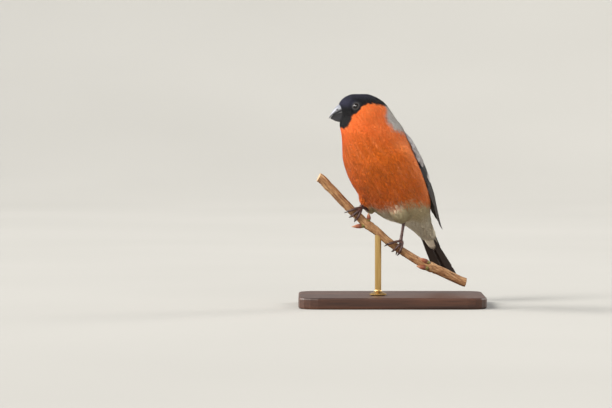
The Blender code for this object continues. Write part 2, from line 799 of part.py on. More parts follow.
def twig_tube(name, group, grow=0.0):
    places = steps(TWIG_LINE[0][0] - grow, TWIG_LINE[-1][0] + grow, TWIG_POINTS)
    knots = [twig_at(x) for x in places]
    return tube(name, [p for p, _ in knots], [r + grow for _, r in knots], group, 3)


def bud(foot, tip, foot_depth, tip_depth, radius, group):
    depth = twig_at(foot[0])[0].y
    a = Vector((foot[0], depth + foot_depth, foot[1]))
    b = Vector((tip[0], depth + tip_depth, tip[1]))
    points = [a.lerp(b, share) for share, _ in BUD_PROFILE]
    return tube("bud", points, [radius * size for _, size in BUD_PROFILE], group, 1)


def build_perch(parts, work):
    """The cut twig with its buds."""
    twig = twig_tube("perch_twig", parts)
    join([twig, *(bud(*sizes, work) for sizes in BUDS)])
    keep_largest(twig)
    return twig


# Legs.

def round_twig(x, drift, angle, distance):
    """A point beside the twig: an angle from its upper side towards the front, a distance off its bark."""
    here, radius, along, upper, front = twig_frame(x + drift)
    a = math.radians(angle)
    return here + (upper * math.cos(a) + front * math.sin(a)) * (radius + distance)


def toe_line(x, toe):
    """The middle of a toe, from the foot over the twig and round it."""
    drift, start, end = toe
    points = []
    for share in steps(0.0, 1.0, TOE_POINTS):
        rise = TOE_RISE + TOE_ARCH * math.sin(math.pi * share)
        points.append(round_twig(x, drift * share**0.7, start + (end - start) * share, rise))
    return points


def build_leg(leg, parts, work):
    """Thigh feathers, tarsus, foot with its toes, and a claw on each toe."""
    x, ankle = FEET[leg]
    foot_top, up = shank_way(leg)
    shank_foot = foot_top + up * FOOT_NECK
    shank = [(shank_foot + up * GAP).lerp(ankle, share) for share in steps(0.0, 1.0, SHANK_POINTS)]
    radii = [TARSUS_RADIUS] * (SHANK_POINTS - 2) + [(TARSUS_RADIUS + ANKLE_RADIUS) / 2, ANKLE_RADIUS]
    made = {f"tarsus_{leg}": tube(f"tarsus_{leg}", shank, radii, parts)}

    stub = tube(f"foot_{leg}", [foot_top - up * PAD_RADIUS, foot_top, shank_foot], STUB_RADII, parts)
    pieces = [stub, ball("pad", round_twig(x, 0.0, 0.0, PAD_RISE), PAD_RADIUS, work, PAD_SEGMENTS)]
    swell = [TOE_RADIUS * (TOE_SWELL if k % 2 else TOE_WAIST) for k in range(TOE_POINTS)]
    swell[-1] = TOE_RADIUS * TOE_END
    for number, toe in TOES[leg].items():
        line = toe_line(x, toe)
        pieces.append(tube("toe", line, swell, work))
        name = f"claw_{leg}_{number}"
        made[name] = claw(name, x, toe, line, parts)
    foot = join(pieces)
    cut(foot, [twig_tube("twig_room", work, GAP)])
    keep_largest(foot)
    made[f"foot_{leg}"] = foot

    thigh = thigh_solid(f"thigh_{leg}", leg, 0.0, parts)
    cut(thigh, [shank_room(leg, work)])
    keep_largest(thigh)
    made[f"thigh_{leg}"] = thigh
    return made


def claw(name, x, toe, line, parts):
    """A claw that carries the toe's curve on round the twig and down to a point."""
    drift, start, end = toe
    sense = math.copysign(1.0, end - start)
    points = [line[-1] + (line[-1] - line[-2]).normalized() * ROOM]
    for share in steps(0.0, 1.0, CLAW_POINTS)[1:]:
        angle = end + sense * (CLAW_START + CLAW_SWEEP * share)
        rise = TOE_RISE - CLAW_SINK * share + CLAW_HOOK * share * share
        points.append(round_twig(x, drift * (1.0 + 0.1 * share), angle, rise))
    radii = [CLAW_RADIUS * (1.0 - share) ** 0.75 + CLAW_TIP for share in steps(0.0, 1.0, CLAW_POINTS)]
    return tube(name, points, radii, parts, 1)


def shank_way(leg):
    """Where the shank rises from the foot, and its direction."""
    x, ankle = FEET[leg]
    foot_top = round_twig(x, 0.0, FOOT_ANGLE, FOOT_RISE)
    return foot_top, (ankle - foot_top).normalized()


def thigh_solid(name, leg, grow, group):
    """The feathered thigh, which runs from the ankle forwards along the belly."""
    way = THIGH_WAY.normalized()
    points = [FEET[leg][1] + way * (THIGH_LENGTH * share - THIGH_DROP) for share, _ in THIGH_PROFILE]
    points[0] -= way * grow
    points[-1] += way * grow
    return tube(name, points, [radius + grow for _, radius in THIGH_PROFILE], group, THIGH_ROUNDNESS)


def thigh_rooms(work):
    """What the belly leaves free for the thighs and for the shanks' upper ends."""
    made = []
    for leg in FEET:
        made.append(thigh_solid("thigh_room", leg, GAP, work))
        made.append(shank_room(leg, work))
    return made


def shank_room(leg, work):
    """The shank grown by a clearance."""
    foot_top, up = shank_way(leg)
    ankle = FEET[leg][1]
    radii = [TARSUS_RADIUS + ROOM, TARSUS_RADIUS + ROOM, ANKLE_RADIUS + ROOM, ANKLE_RADIUS + ROOM]
    points = [foot_top, foot_top.lerp(ankle, 0.7), ankle, ankle + up * GAP]
    return tube("shank_room", points, radii, work)


# Stand.

def base_outline():
    """The rounded rectangle of the base, as points from a corner round to the start."""
    width, depth, _ = BASE_SIZE
    points = []
    for number, (sx, sy) in enumerate(((1, 1), (-1, 1), (-1, -1), (1, -1))):
        middle = Vector((sx * (width / 2 - BASE_CORNER), sy * (depth / 2 - BASE_CORNER), 0.0))
        for k in range(BASE_CORNER_POINTS):
            a = math.radians(90.0 * (number + k / (BASE_CORNER_POINTS - 1)))
            points.append(middle + Vector((math.cos(a), math.sin(a), 0.0)) * BASE_CORNER)
    return points


def build_base(parts):
    height = BASE_SIZE[2]
    outline = bpy.data.curves.new("stand_base", "CURVE")
    outline.dimensions = "2D"
    outline.fill_mode = "BOTH"
    outline.extrude = height / 2 * MM
    spline = outline.splines.new("POLY")
    corners = base_outline()
    spline.points.add(len(corners) - 1)
    for knot, place in zip(spline.points, corners):
        knot.co = (*(place * MM), 1.0)
    spline.use_cyclic_u = True
    guide = bpy.data.objects.new("base_line", outline)
    parts.objects.link(guide)
    mesh = welded_mesh(guide)
    form = bmesh.new()
    form.from_mesh(mesh)
    bmesh.ops.dissolve_limit(form, angle_limit=math.radians(1.0), verts=form.verts, edges=form.edges)
    form.to_mesh(mesh)
    form.free()
    base = bpy.data.objects.new("stand_base", mesh)
    base.location.z = height / 2 * MM
    parts.objects.link(base)
    bevel = base.modifiers.new("edge", "BEVEL")
    bevel.width = BASE_BEVEL * MM
    bevel.segments = 2
    bevel.angle_limit = math.radians(60.0)
    return base


def build_rod(parts, work):
    """A rod with a collar, up to just under the twig's bark."""
    centre, _ = twig_at(ROD_X)
    foot = Vector((ROD_X, centre.y, BASE_SIZE[2] + GAP))
    rod = tube("stand_rod", [foot, centre], [ROD_RADIUS] * 2, parts, ROD_ROUNDNESS)
    collar_top = foot + Vector((0.0, 0.0, COLLAR_HEIGHT))
    join([rod, tube("collar", [foot, collar_top], COLLAR_RADII, work, ROD_ROUNDNESS)])
    cut(rod, [twig_tube("twig_room", work, GAP)])
    keep_largest(rod)
    return rod


# Everything.

def paint(made):
    """Gives each node its own material, and smooth shading where it is round."""
    black = ((0.02, 0.02, 0.03), 0.35)
    brown = ((0.18, 0.1, 0.08), 0.55)
    looks = {
        "head": black,
        "neck": ((0.75, 0.2, 0.06), 0.8),
        "torso": ((0.72, 0.22, 0.06), 0.8),
        "bill": ((0.05, 0.05, 0.055), 0.4),
        "eye": ((0.01, 0.008, 0.006), 0.05),
        "wing": black,
        "tail": black,
        "thigh": ((0.75, 0.7, 0.62), 0.85),
        "tarsus": brown,
        "foot": brown,
        "claw": ((0.06, 0.04, 0.035), 0.35),
        "perch": ((0.42, 0.27, 0.14), 0.8),
        "stand_base": ((0.09, 0.05, 0.03), 0.4),
        "stand_rod": ((0.7, 0.55, 0.3), 0.3),
    }
    for name, item in made.items():
        kind = next(key for key in sorted(looks, key=len, reverse=True) if name.startswith(key))
        colour, roughness = looks[kind]
        item.data.materials.clear()
        item.data.materials.append(new_material(name, colour, roughness, 1.0 if kind == "stand_rod" else 0.0))
        item.data.shade_smooth()
        item.data.set_sharp_from_angle(angle=math.radians(35.0))


def main():
    clear_scene()
    parts = new_collection("bullfinch")
    work = new_collection("cutters")
    made = {}
    made.update(build_head(parts, work))
    made["neck"] = build_neck(parts)
    made["torso"] = build_torso(parts, thigh_rooms(work))
    made["wing_left"] = build_wing("wing_left", 1, parts, work)
    made["wing_right"] = build_wing("wing_right", -1, parts, work)
    made["tail"] = build_tail(parts, work)
    made.update(build_leg("left", parts, work))
    made.update(build_leg("right", parts, work))
    made["perch_twig"] = build_perch(parts, work)
    made["stand_base"] = build_base(parts)
    made["stand_rod"] = build_rod(parts, work)
    paint(made)
    holder = bpy.data.objects.new("bullfinch_on_stand", None)
    parts.objects.link(holder)
    for name, item in made.items():
        item.name = name
        item.parent = holder


main()
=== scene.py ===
"""The looks of the bullfinch on its twig: skin, feathers, bill, eyes, legs, bark, stand, light and camera.

Sizes in the tables are millimetres and degrees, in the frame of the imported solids, +Z up. Points are
held in millimetres until a mesh is made. The body heads 36 degrees from -Y towards -X, the bill points
along -X, and the camera looks along +Y.
"""

import json
import math

import bmesh
import bpy
import numpy as np
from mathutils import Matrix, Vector
from mathutils.bvhtree import BVHTree
from mathutils.kdtree import KDTree

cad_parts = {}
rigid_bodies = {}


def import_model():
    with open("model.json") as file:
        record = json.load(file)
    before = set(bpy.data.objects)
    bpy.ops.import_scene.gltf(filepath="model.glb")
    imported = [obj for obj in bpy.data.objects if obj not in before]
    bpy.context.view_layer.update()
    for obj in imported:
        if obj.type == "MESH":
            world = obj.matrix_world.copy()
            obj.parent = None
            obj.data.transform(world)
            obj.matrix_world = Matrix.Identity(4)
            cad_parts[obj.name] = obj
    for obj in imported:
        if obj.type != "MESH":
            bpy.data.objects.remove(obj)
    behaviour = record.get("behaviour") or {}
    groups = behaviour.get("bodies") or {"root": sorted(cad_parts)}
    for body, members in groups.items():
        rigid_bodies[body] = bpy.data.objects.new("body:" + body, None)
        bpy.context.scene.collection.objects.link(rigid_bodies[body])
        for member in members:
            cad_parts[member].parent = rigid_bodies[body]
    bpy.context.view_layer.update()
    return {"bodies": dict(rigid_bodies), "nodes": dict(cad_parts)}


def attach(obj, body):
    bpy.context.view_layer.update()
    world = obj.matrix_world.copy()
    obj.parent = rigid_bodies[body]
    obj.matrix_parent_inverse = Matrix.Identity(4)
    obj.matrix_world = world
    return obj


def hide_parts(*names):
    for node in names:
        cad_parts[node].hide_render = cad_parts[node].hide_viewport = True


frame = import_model()

MM = 0.001
BODY = "root" if "root" in frame["bodies"] else next(iter(frame["bodies"]))
chance = np.random.default_rng(20)

# The body's axis: where its middle is, which way it heads and how far it leans.
BODY_MIDDLE = np.array((0.0, -7.0, 80.0))
BODY_HEADING = 36.0
BODY_TILT = 42.0

# Torso rings, square to the body's axis: distance along the axis (tail end first), shift towards the
# back, turn and lean added on the way to the neck, depth to the belly, depth to the back, half width.
TORSO_RINGS = (
    (-57.0, 4.9, 0.0, 0.0, 2.3, 2.4, 5.3),
    (-48.0, 4.4, 0.0, 0.0, 4.4, 4.2, 7.4),
    (-38.0, 3.4, 0.0, 0.0, 7.6, 7.0, 10.4),
    (-30.0, 2.4, 0.0, 0.0, 12.0, 10.0, 14.0),
    (-22.0, 1.4, 0.0, 0.0, 17.0, 13.8, 18.0),
    (-12.0, 0.0, 0.0, 0.0, 19.8, 17.5, 21.3),
    (1.0, 0.0, 0.0, 0.0, 22.5, 20.0, 23.3),
    (12.0, 0.0, 0.0, -3.0, 23.2, 20.5, 24.0),
    (22.0, 1.0, 3.0, -9.0, 22.6, 20.0, 23.3),
)
# Neck and head rings: centre, heading, tilt, depth to the front, depth to the back, half width, and
# how far the ring narrows towards the bill.
HEAD_RINGS = (
    (-10.2, -20.0, 101.0, 48.0, 24.0, 22.0, 19.0, 20.8, 0.0),
    (-12.0, -23.5, 109.0, 62.0, 12.0, 20.2, 18.0, 17.5, 0.05),
    (-14.5, -25.0, 114.5, 78.0, 4.0, 18.4, 17.4, 15.0, 0.2),
    (-16.5, -25.5, 119.0, 90.0, 0.0, 16.2, 17.0, 13.9, 0.32),
    (-17.5, -25.5, 123.5, 90.0, 0.0, 16.3, 15.0, 13.0, 0.34),
    (-18.5, -25.5, 127.0, 90.0, 0.0, 14.0, 12.9, 11.3, 0.28),
    (-19.5, -25.5, 130.0, 90.0, 0.0, 10.0, 9.2, 8.5, 0.15),
    (-20.0, -25.5, 131.8, 90.0, 0.0, 5.4, 5.2, 4.9, 0.05),
)
# The hollow in the torso under a folded wing: its depth, then where it starts and ends, in degrees up
# from the belly and in ring numbers.
SEAT_DEPTH = 2.2
SEAT_ANGLES = (90.0, 106.0, 158.0, 174.0)
SEAT_RINGS = (0.4, 2.0, 8.0, 9.4)
FORM_RINGS = 150
FORM_SIDES = 112
FORM_VOXEL = 0.75
FORM_SMOOTHING = 7
THIGH_SIDES = 24

# Eyes: ring number and angle from the front, radius, and how deep the middle lies.
EYE_PLACE = 13.27
EYE_FORWARD_ANGLE = 72.0
EYE_RADIUS = 2.9
EYE_DEPTH = 2.25
# Lid: how far ahead of the eye's middle, half its width and height, its thickness and wrinkles.
LID_FORWARD = 2.22
LID_HALF_WIDTH = 2.15
LID_HALF_HEIGHT = 1.95
LID_RADIUS = 0.3
LID_WRINKLE = 0.12
LID_WRINKLES = 22.0
LID_ROWS = 72
LID_SIDES = 12
# Bill: middle of its root, and how far it points down.
BILL_BASE = np.array((-31.3, -25.5, 119.7))
BILL_DROOP = 19.0
# For each section: distance along the bill, cutting edge, ridge, half width at the cutting edge.
UPPER_BILL = (
    (-3.2, 1.7, 6.0, 4.9),
    (-1.0, 1.75, 6.1, 4.8),
    (1.0, 1.7, 5.75, 4.4),
    (3.0, 1.5, 4.75, 3.75),
    (5.0, 1.15, 3.4, 2.75),
    (6.8, 0.7, 1.9, 1.6),
    (7.9, 0.1, 0.75, 0.7),
    (8.4, -0.35, 0.0, 0.25),
)
LOWER_BILL = (
    (-4.2, 1.4, -4.9, 4.9),
    (-1.5, 1.45, -5.1, 4.7),
    (1.0, 1.4, -4.9, 4.2),
    (3.0, 1.2, -4.2, 3.5),
    (5.0, 0.85, -3.0, 2.5),
    (6.4, 0.4, -1.6, 1.5),
    (7.4, -0.2, -0.75, 0.6),
)
BILL_LENGTH = 8.4
JAW_TUCK = 0.24
# Nostril: how far along the bill and over its middle.
NOSTRIL = (1.9, 3.3)
NOSTRIL_RADIUS = 0.4

# The surface that the wing's feathers lie on, square to the body's axis: distance along the axis,
# shift towards the back, half width, depth to the back.
WING_RINGS = (
    (-60.0, 7.4, 10.6, 3.4),
    (-48.0, 6.0, 12.0, 5.6),
    (-36.0, 3.8, 15.2, 10.0),
    (-24.0, 1.6, 18.8, 14.5),
    (-12.0, 0.3, 21.2, 16.8),
    (0.0, 0.0, 22.2, 18.4),
    (12.0, 0.3, 22.0, 18.4),
    (24.0, 2.6, 20.0, 16.4),
    (36.0, 6.0, 16.0, 12.0),
)
# The wing's long feathers, from the lowest layer up: how many, then for the lowest and the highest
# feather of the tier: root (along, angle up from the belly), tip, half width. Last the tier's lift.
WING_TIERS = {
    "primary": (9, (4.0, 100.0), (-51.0, 110.0), 3.4, (1.0, 118.0), (-43.0, 147.0), 3.9, 0.0),
    "secondary": (6, (0.0, 120.0), (-38.0, 148.0), 3.9, (0.0, 134.0), (-32.0, 157.0), 4.2, 0.4),
    "tertial": (3, (0.0, 141.0), (-27.0, 153.0), 4.3, (2.0, 157.0), (-17.0, 167.0), 4.8, 0.8),
    "primary_covert": (6, (11.0, 99.0), (-11.0, 102.0), 1.9, (11.0, 109.0), (-7.0, 113.0), 2.0, 0.65),
    "greater_covert": (9, (8.0, 110.0), (-10.5, 116.0), 2.8, (8.0, 152.0), (-6.0, 159.0), 3.1, 0.95),
    "median_covert": (9, (13.0, 107.0), (3.5, 110.0), 2.4, (12.5, 148.0), (5.0, 153.0), 2.6, 1.12),
}
CORE_ALONG = (22.0, 17.0, 8.0, 0.0, -8.0, -16.0, -22.0)
CORE_LOW = (114.0, 104.0, 98.0, 98.0, 102.0, 109.0, 118.0)
CORE_HIGH = (150.0, 162.0, 166.0, 168.0, 168.0, 166.0, 158.0)
CORE_LIFT = (0.0, 0.8, 1.1, 0.8, 0.3, 0.1, 0.0)
CORE_DEPTH = 2.0
CORE_ROWS = 25
CORE_COLUMNS = 15

# Tail.
TAIL_ROOT = -57.0
TAIL_SHIFT = 4.9
TAIL_PAIRS = 6
TAIL_LENGTH = 29.0
TAIL_FORK = 3.0
TAIL_HALF_WIDTH = 3.4
TAIL_LIFT = 0.9
TAIL_STEP = 0.34
TAIL_SIDE_STEP = 0.17
TAIL_TILT = 0.14
TAIL_ARCH = 0.02
TAIL_ROOT_SPREAD = (0.5, 0.51)
TAIL_TIP_SPREAD = (1.0, 0.82)

# Twig: centre line (x, z) and radius from its upper to its lower end, and its drift in depth.
TWIG_LINE = (
    (-45.5, 80.6, 2.9),
    (-39.7, 75.0, 2.85),
    (-28.5, 63.6, 2.75),
    (-20.0, 55.6, 2.65),
    (-14.5, 50.6, 2.8),
    (-13.0, 49.3, 2.75),
    (-1.9, 40.4, 2.45),
    (8.1, 33.4, 2.5),
    (19.8, 26.6, 2.75),
    (24.0, 24.6, 3.2),
    (27.0, 23.2, 3.0),
    (36.0, 19.1, 2.9),
    (46.0, 14.8, 2.85),
)
TWIG_DEPTH = -12.5
TWIG_DEPTH_SLOPE = 0.15
TWIG_ROWS = 420
TWIG_SIDES = 56
# Bark: how far it lies under the radius, its furrows and roughness, and the swellings at its nodes.
BARK_INSET = 0.08
FURROW_HEIGHT = 0.07
FURROW_RUN = 0.22
ROUGHNESS_HEIGHT = 0.05
TWIG_NODES = (-15.0, 24.0)
NODE_HEIGHT = 0.16
NODE_WIDTH = 0.9
# Sizes of the rings that close a cut end, from its rim in.
END_SIZES = (0.93, 0.62, 0.3)
# Buds: foot on the twig (x, z), tip (x, z), depth of foot and tip from the twig's line, radius.
BUDS = (
    ((-16.6, 50.4), (-25.2, 49.9), -1.2, -2.6, 1.35),
    ((-14.3, 53.2), (-14.6, 58.6), -1.4, -2.6, 1.2),
    ((24.0, 26.6), (16.2, 30.4), -1.6, -3.2, 1.5),
    ((23.0, 23.6), (15.0, 25.4), -2.6, -4.0, 1.5),
)

# A bud's radius along it, and its scales: how many, the turn from one to the next, where the first
# starts, the step to the next, and how far each reaches.
BUD_PROFILE = ((0.0, 0.62), (0.18, 0.9), (0.42, 1.0), (0.68, 0.72), (0.88, 0.34), (1.0, 0.06))
BUD_SCALES = 9
BUD_TURN = 2.4
BUD_START = 0.04
BUD_STEP = 0.062
BUD_REACH = 0.42
BUD_CORE = 0.88

# Legs: x of the foot on the twig, and the ankle.
FEET = {
    "left": (3.6, np.array((6.8, -11.0, 53.6))),
    "right": (-22.4, np.array((-12.8, -4.6, 59.0))),
}
ANKLE_RADIUS = 1.25
FOOT_ANGLE = -6.0
FOOT_RISE = 2.9
PAD_RADIUS = 1.35
TOE_RADIUS = 0.85
TOE_RISE = 1.25
TOE_ARCH = 0.25
# Toes: drift along the twig, start and end angle round it from its upper side (towards the front).
TOES = {
    "left": {
        "1": (1.2, -8.0, -128.0),
        "2": (-5.6, 6.0, 112.0),
        "3": (-1.4, 10.0, 138.0),
        "4": (1.7, 12.0, 128.0),
    },
    "right": {
        "1": (1.6, -8.0, -128.0),
        "2": (1.4, 12.0, 122.0),
        "3": (-1.2, 10.0, 136.0),
        "4": (-3.8, 6.0, 116.0),
    },
}
CLAW_RADIUS = 0.63
CLAW_TIP = 0.06
CLAW_START = 6.0
CLAW_SWEEP = 46.0
CLAW_SINK = 0.3
CLAW_HOOK = 0.9
# Feathered thigh: share of its length from the ankle, and radius there; then the way it runs.
THIGH_PROFILE = ((0.0, 0.9), (0.06, 2.2), (0.2, 4.0), (0.42, 5.4), (0.66, 5.4), (0.86, 4.0), (1.0, 2.0))
THIGH_LENGTH = 19.0
THIGH_DROP = 2.0
THIGH_WAY = np.array((-0.36, -0.5, 0.79))

# How far up a thigh its pale feathers give way to the colour of the body, and how full it looks.
THIGH_PALE = {"left": (8.0, 12.0), "right": (3.0, 7.0)}
THIGH_FULLNESS = {"left": 1.0, "right": 0.72}
# How far the shank leans in the photo, at the foot and at the ankle, and how high the toes spring.
SHANK_LEAN = {"left": (-0.9, 0.8), "right": (0.0, 0.0)}
KNUCKLE_RISE = 1.1
# Radius along a shank from the foot up, and the swellings along a toe.
SHANK_RADII = ((0.0, 1.2), (0.12, 0.98), (0.5, 0.86), (0.85, 1.0), (1.0, ANKLE_RADIUS))
TOE_SWELLS = (1.05, 1.0, 0.86, 1.02, 0.84, 0.96, 0.8, 0.66)
SHANK_ROWS = 90
SHANK_SIDES = 24
SCALE_LENGTH = 1.35
TOE_ROWS = 40
TOE_SIDES = 20
TOE_SCALES = 11.0
CLAW_ROWS = 24
CLAW_SIDES = 18
PAD_RISE = 1.9
FOOT_VOXEL = 0.13
FOOT_SMOOTHING = 2

# Stand.
ROD_X = -8.6
ROD_RADIUS = 2.0
ROD_ROWS = 12
ROD_SIDES = 48
ROD_SINK = 0.25
BASE_HEIGHT = 7.0
# The rod's turned foot: height over the base with its gap, and radius.
FOOT_GAP = 0.3
ROD_FOOT = (
    (0.0, 5.0), (0.25, 5.3), (0.9, 5.3), (1.3, 4.6), (1.6, 3.6), (2.1, 2.9), (2.5, 2.25),
    (3.2, ROD_RADIUS),
)
ROD_START = 4.0
ROD_SHARPNESS = 50.0

# Floor: how far it is flat, how far towards -Y its middle lies, and how wide it bends up.
FLOOR_RADIUS = 2700.0
FLOOR_SHIFT = -450.0
BEND_RADIUS = 2500.0
BEND_END = 1.0
FLAT_RINGS = 30
BEND_RINGS = 40
FLOOR_SIDES = 96

# Camera: a long lens, level with the bird. A photo pixel is this many millimetres at the bird.
PIXEL = 0.62
VIEW_CENTRE = ((306.0 - 392.0) * PIXEL, -15.0, (307.0 - 204.0) * PIXEL)
VIEW_WIDTH = 612.0 * PIXEL
VIEW_DISTANCE = 2500.0
VIEW_RISE = 1.5
SENSOR = 36.0


def srgb(red, green, blue):
    """A colour in linear light from its usual 0 to 255 values."""
    values = np.array((red, green, blue)) / 255.0
    return np.where(values <= 0.04045, values / 12.92, ((values + 0.055) / 1.055) ** 2.4)


CAP_BLACK = srgb(14, 13, 17)
# Painted sheen: the bluish reflection on the top of the black cap.
CAP_PAINTED_SHEEN = srgb(50, 50, 72)
CHEEK_ORANGE = srgb(250, 122, 50)
BREAST_ORANGE = srgb(240, 118, 22)
BREAST_DEEP = srgb(196, 98, 8)
THROAT_PALE = srgb(255, 160, 90)
# Painted rim light: the bright orange of the flank's edge beside the wing, where light from behind falls.
FLANK_PAINTED_RIM = srgb(255, 150, 74)
NAPE_GREY = srgb(198, 193, 188)
BACK_GREY = srgb(152, 145, 146)
BELLY_BUFF = srgb(212, 196, 152)
DOWN_WHITE = srgb(244, 236, 212)
RUMP_WHITE = srgb(244, 241, 234)
WING_BLACK = srgb(20, 18, 23)
WING_BAR = srgb(190, 184, 178)
TERTIAL_RED = srgb(112, 44, 38)
SHAFT_BROWN = srgb(70, 56, 52)
UNDER_TAIL = srgb(82, 70, 60)
PRIMARY_EDGE = srgb(62, 50, 43)
FLIGHT_EDGE = srgb(42, 37, 37)


# Numbers and vectors.

def unit(vectors):
    """The same directions, one long."""
    return vectors / np.maximum(np.linalg.norm(vectors, axis=-1, keepdims=True), 1e-9)


def ease(value, start, end):
    """0 up to start, 1 from end on, and smooth between."""
    share = np.clip((value - start) / (end - start), 0.0, 1.0)
    return share * share * (3.0 - 2.0 * share)


def mix(first, second, share):
    """Rows of colours between two colours, by a share for each row."""
    share = np.asarray(share)[..., None]
    return first * (1.0 - share) + second * share


def turns_of(count):
    """Angles evenly round a circle."""
    return np.arange(count) * math.tau / count


def circle(turns, first, second):
    """Points of a circle of radius one, from two directions square to each other."""
    return np.cos(turns)[:, None] * first + np.sin(turns)[:, None] * second


def read_table(table, value):
    """Reads a table of pairs at a value, in straight lines between its rows."""
    keys, rows = np.array(table).T
    return np.interp(value, keys, rows)


def axes(heading, tilt):
    """Unit vectors to the front, to the left and along the axis, for rings' headings and tilts."""
    turn, lean = np.radians(heading), np.radians(tilt)
    front = np.stack((-np.sin(turn) * np.cos(lean), -np.cos(turn) * np.cos(lean), -np.sin(lean)), -1)
    left = np.stack((np.cos(turn), -np.sin(turn), np.zeros_like(turn)), -1)
    up = np.stack((-np.sin(turn) * np.sin(lean), -np.cos(turn) * np.sin(lean), np.cos(lean)), -1)
    return front, left, up


BODY_FRONT, BODY_LEFT, BODY_UP = axes(np.float64(BODY_HEADING), np.float64(BODY_TILT))


def on_body(along, back, left):
    """Points given along the body's axis, towards the back and to the left."""
    along, back, left = (np.asarray(value, float)[..., None] for value in (along, back, left))
    return BODY_MIDDLE + BODY_UP * along - BODY_FRONT * back + BODY_LEFT * left


def body_coordinates(points):
    """How far points lie along the body's axis, towards the back and to the left."""
    offset = points - BODY_MIDDLE
    return offset @ BODY_UP, -(offset @ BODY_FRONT), offset @ BODY_LEFT


def smooth(table, place):
    """A smooth curve through the rows of a table, read at row numbers."""
    low = np.clip(place.astype(int), 0, len(table) - 2)
    part = (place - low)[..., None]
    before, start = table[np.maximum(low - 1, 0)], table[low]
    end, after = table[low + 1], table[np.minimum(low + 2, len(table) - 1)]
    return 0.5 * (2.0 * start + (end - before) * part
                  + (2.0 * before - 5.0 * start + 4.0 * end - after) * part**2
                  + (3.0 * start - before - 3.0 * end + after) * part**3)


def place_in(column, value):
    """The row number, with its share, at which a rising column reaches a value."""
    return np.interp(value, column, np.arange(len(column)))


def body_table():
    """Every ring: centre, heading, tilt, front, back, half width, narrowing."""
    rows = []
    for along, shift, turn, lean, front, back, width in TORSO_RINGS:
        centre = on_body(along, shift, 0.0)
        rows.append((*centre, BODY_HEADING + turn, BODY_TILT + lean, front, back, width, 0.0))
    return np.array(rows + list(HEAD_RINGS))


BODY_TABLE = body_table()
LAST_RING = len(BODY_TABLE) - 1


def seat(place, angle):
    """How far the torso is flattened under a folded wing."""
    round_belly = np.abs((np.degrees(angle) + 180.0) % 360.0 - 180.0)
    across = ease(round_belly, *SEAT_ANGLES[:2]) * (1.0 - ease(round_belly, *SEAT_ANGLES[2:]))
    along = ease(place, *SEAT_RINGS[:2]) * (1.0 - ease(place, *SEAT_RINGS[2:]))
    return SEAT_DEPTH * across * along


def body_points(place, angle):
    """Points of the plumage's outline, by ring number and angle from the front round to the left."""
    x, y, z, heading, tilt, front, back, width, narrowing = np.moveaxis(smooth(BODY_TABLE, place), -1, 0)
    ahead, left, _ = axes(heading, tilt)
    c, s = np.cos(angle), np.sin(angle)
    dent = seat(place, angle)
    depth = np.where(c > 0, front, back) - dent
    side = (width - dent) * (1.0 - narrowing * np.maximum(c, 0.0) ** 1.5)
    return np.stack((x, y, z), -1) + ahead * (c * depth)[..., None] + left * (s * side)[..., None]


def wing_points(along, angle, lift, side):
    """Points over the surface that the wing lies on: along the axis, degrees up from the belly, lift."""
    table = np.array(WING_RINGS)
    _, shift, width, back = np.moveaxis(smooth(table, place_in(table[:, 0], along)), -1, 0)
    a = np.radians(angle)
    return on_body(along, shift - np.cos(a) * (back + lift), side * np.sin(a) * (width + lift))


def twig_points(x):
    """Centres and radii of the twig at several x."""
    table = np.array(TWIG_LINE)
    values = smooth(table, place_in(table[:, 0], x))
    return np.stack((x, TWIG_DEPTH + TWIG_DEPTH_SLOPE * x, values[..., 1]), -1), values[..., 2]


def round_twig(x, angle, distance):
    """Points beside the twig: an angle from its upper side towards the front, a distance off its bark."""
    here, radius = twig_points(x)
    along = unit(twig_points(x + 0.5)[0] - twig_points(x - 0.5)[0])
    front = unit(np.array((0.0, -1.0, 0.0)) + along * along[..., 1:2])
    upper = np.cross(front, along)
    upper *= np.sign(upper[..., 2:3])
    a = np.radians(angle)[..., None]
    return here + (upper * np.cos(a) + front * np.sin(a)) * (radius + distance)[..., None]


def noise_field(count, size, seed):
    """A smooth random field over space, as a function of points, about -1 to 1."""
    draw = np.random.default_rng(seed)
    ways = unit(draw.normal(size=(count, 3))) * draw.uniform(0.6, 1.6, (count, 1)) * math.tau / size
    phases = draw.uniform(0.0, math.tau, count)

    def field(points):
        return np.sin(points @ ways.T + phases).sum(-1) / math.sqrt(count * 0.5) / 1.6

    return field


ragged = noise_field(14, 3.2, 5)
patchy = noise_field(12, 13.0, 6)
mottled = noise_field(16, 5.0, 7)
streaked = noise_field(20, 1.0, 8)
STREAK_WIDTH = 1.9
STREAK_LENGTH = 15.0


def streaks(rings, angles):
    """Noise drawn out along the body, as a function of ring number and angle."""
    return streaked(np.stack((angles * 0.4 / STREAK_WIDTH, rings * 10.0 / STREAK_LENGTH, 0.0 * rings), -1))


# Meshes.

def new_mesh(name, points, faces, values=None, uv=None):
    """A mesh from points in millimetres and triangles or quads, with values stored at its points."""
    mesh = bpy.data.meshes.new(name)
    corners = faces.shape[1]
    mesh.vertices.add(len(points))
    mesh.vertices.foreach_set("co", (points * MM).astype(np.float32).ravel())
    mesh.loops.add(faces.size)
    mesh.loops.foreach_set("vertex_index", faces.astype(np.int32).ravel())
    mesh.polygons.add(len(faces))
    mesh.polygons.foreach_set("loop_start", np.arange(len(faces), dtype=np.int32) * corners)
    mesh.update(calc_edges=True)
    mesh.shade_smooth()
    for key, rows in (values or {}).items():
        store(mesh, key, rows)
    if uv is not None:
        layer = mesh.uv_layers.new(name="OFBake")
        layer.data.foreach_set("uv", uv[faces.ravel()].astype(np.float32).ravel())
    return mesh


def store(mesh, key, rows):
    """Keeps a number or a colour for each point of a mesh."""
    if rows.ndim == 1:
        layer = mesh.attributes.new(key, "FLOAT", "POINT")
        layer.data.foreach_set("value", rows.astype(np.float32))
    else:
        layer = mesh.attributes.new(key, "FLOAT_COLOR", "POINT")
        full = np.concatenate((rows, np.ones((len(rows), 1))), 1)
        layer.data.foreach_set("color", full.astype(np.float32).ravel())


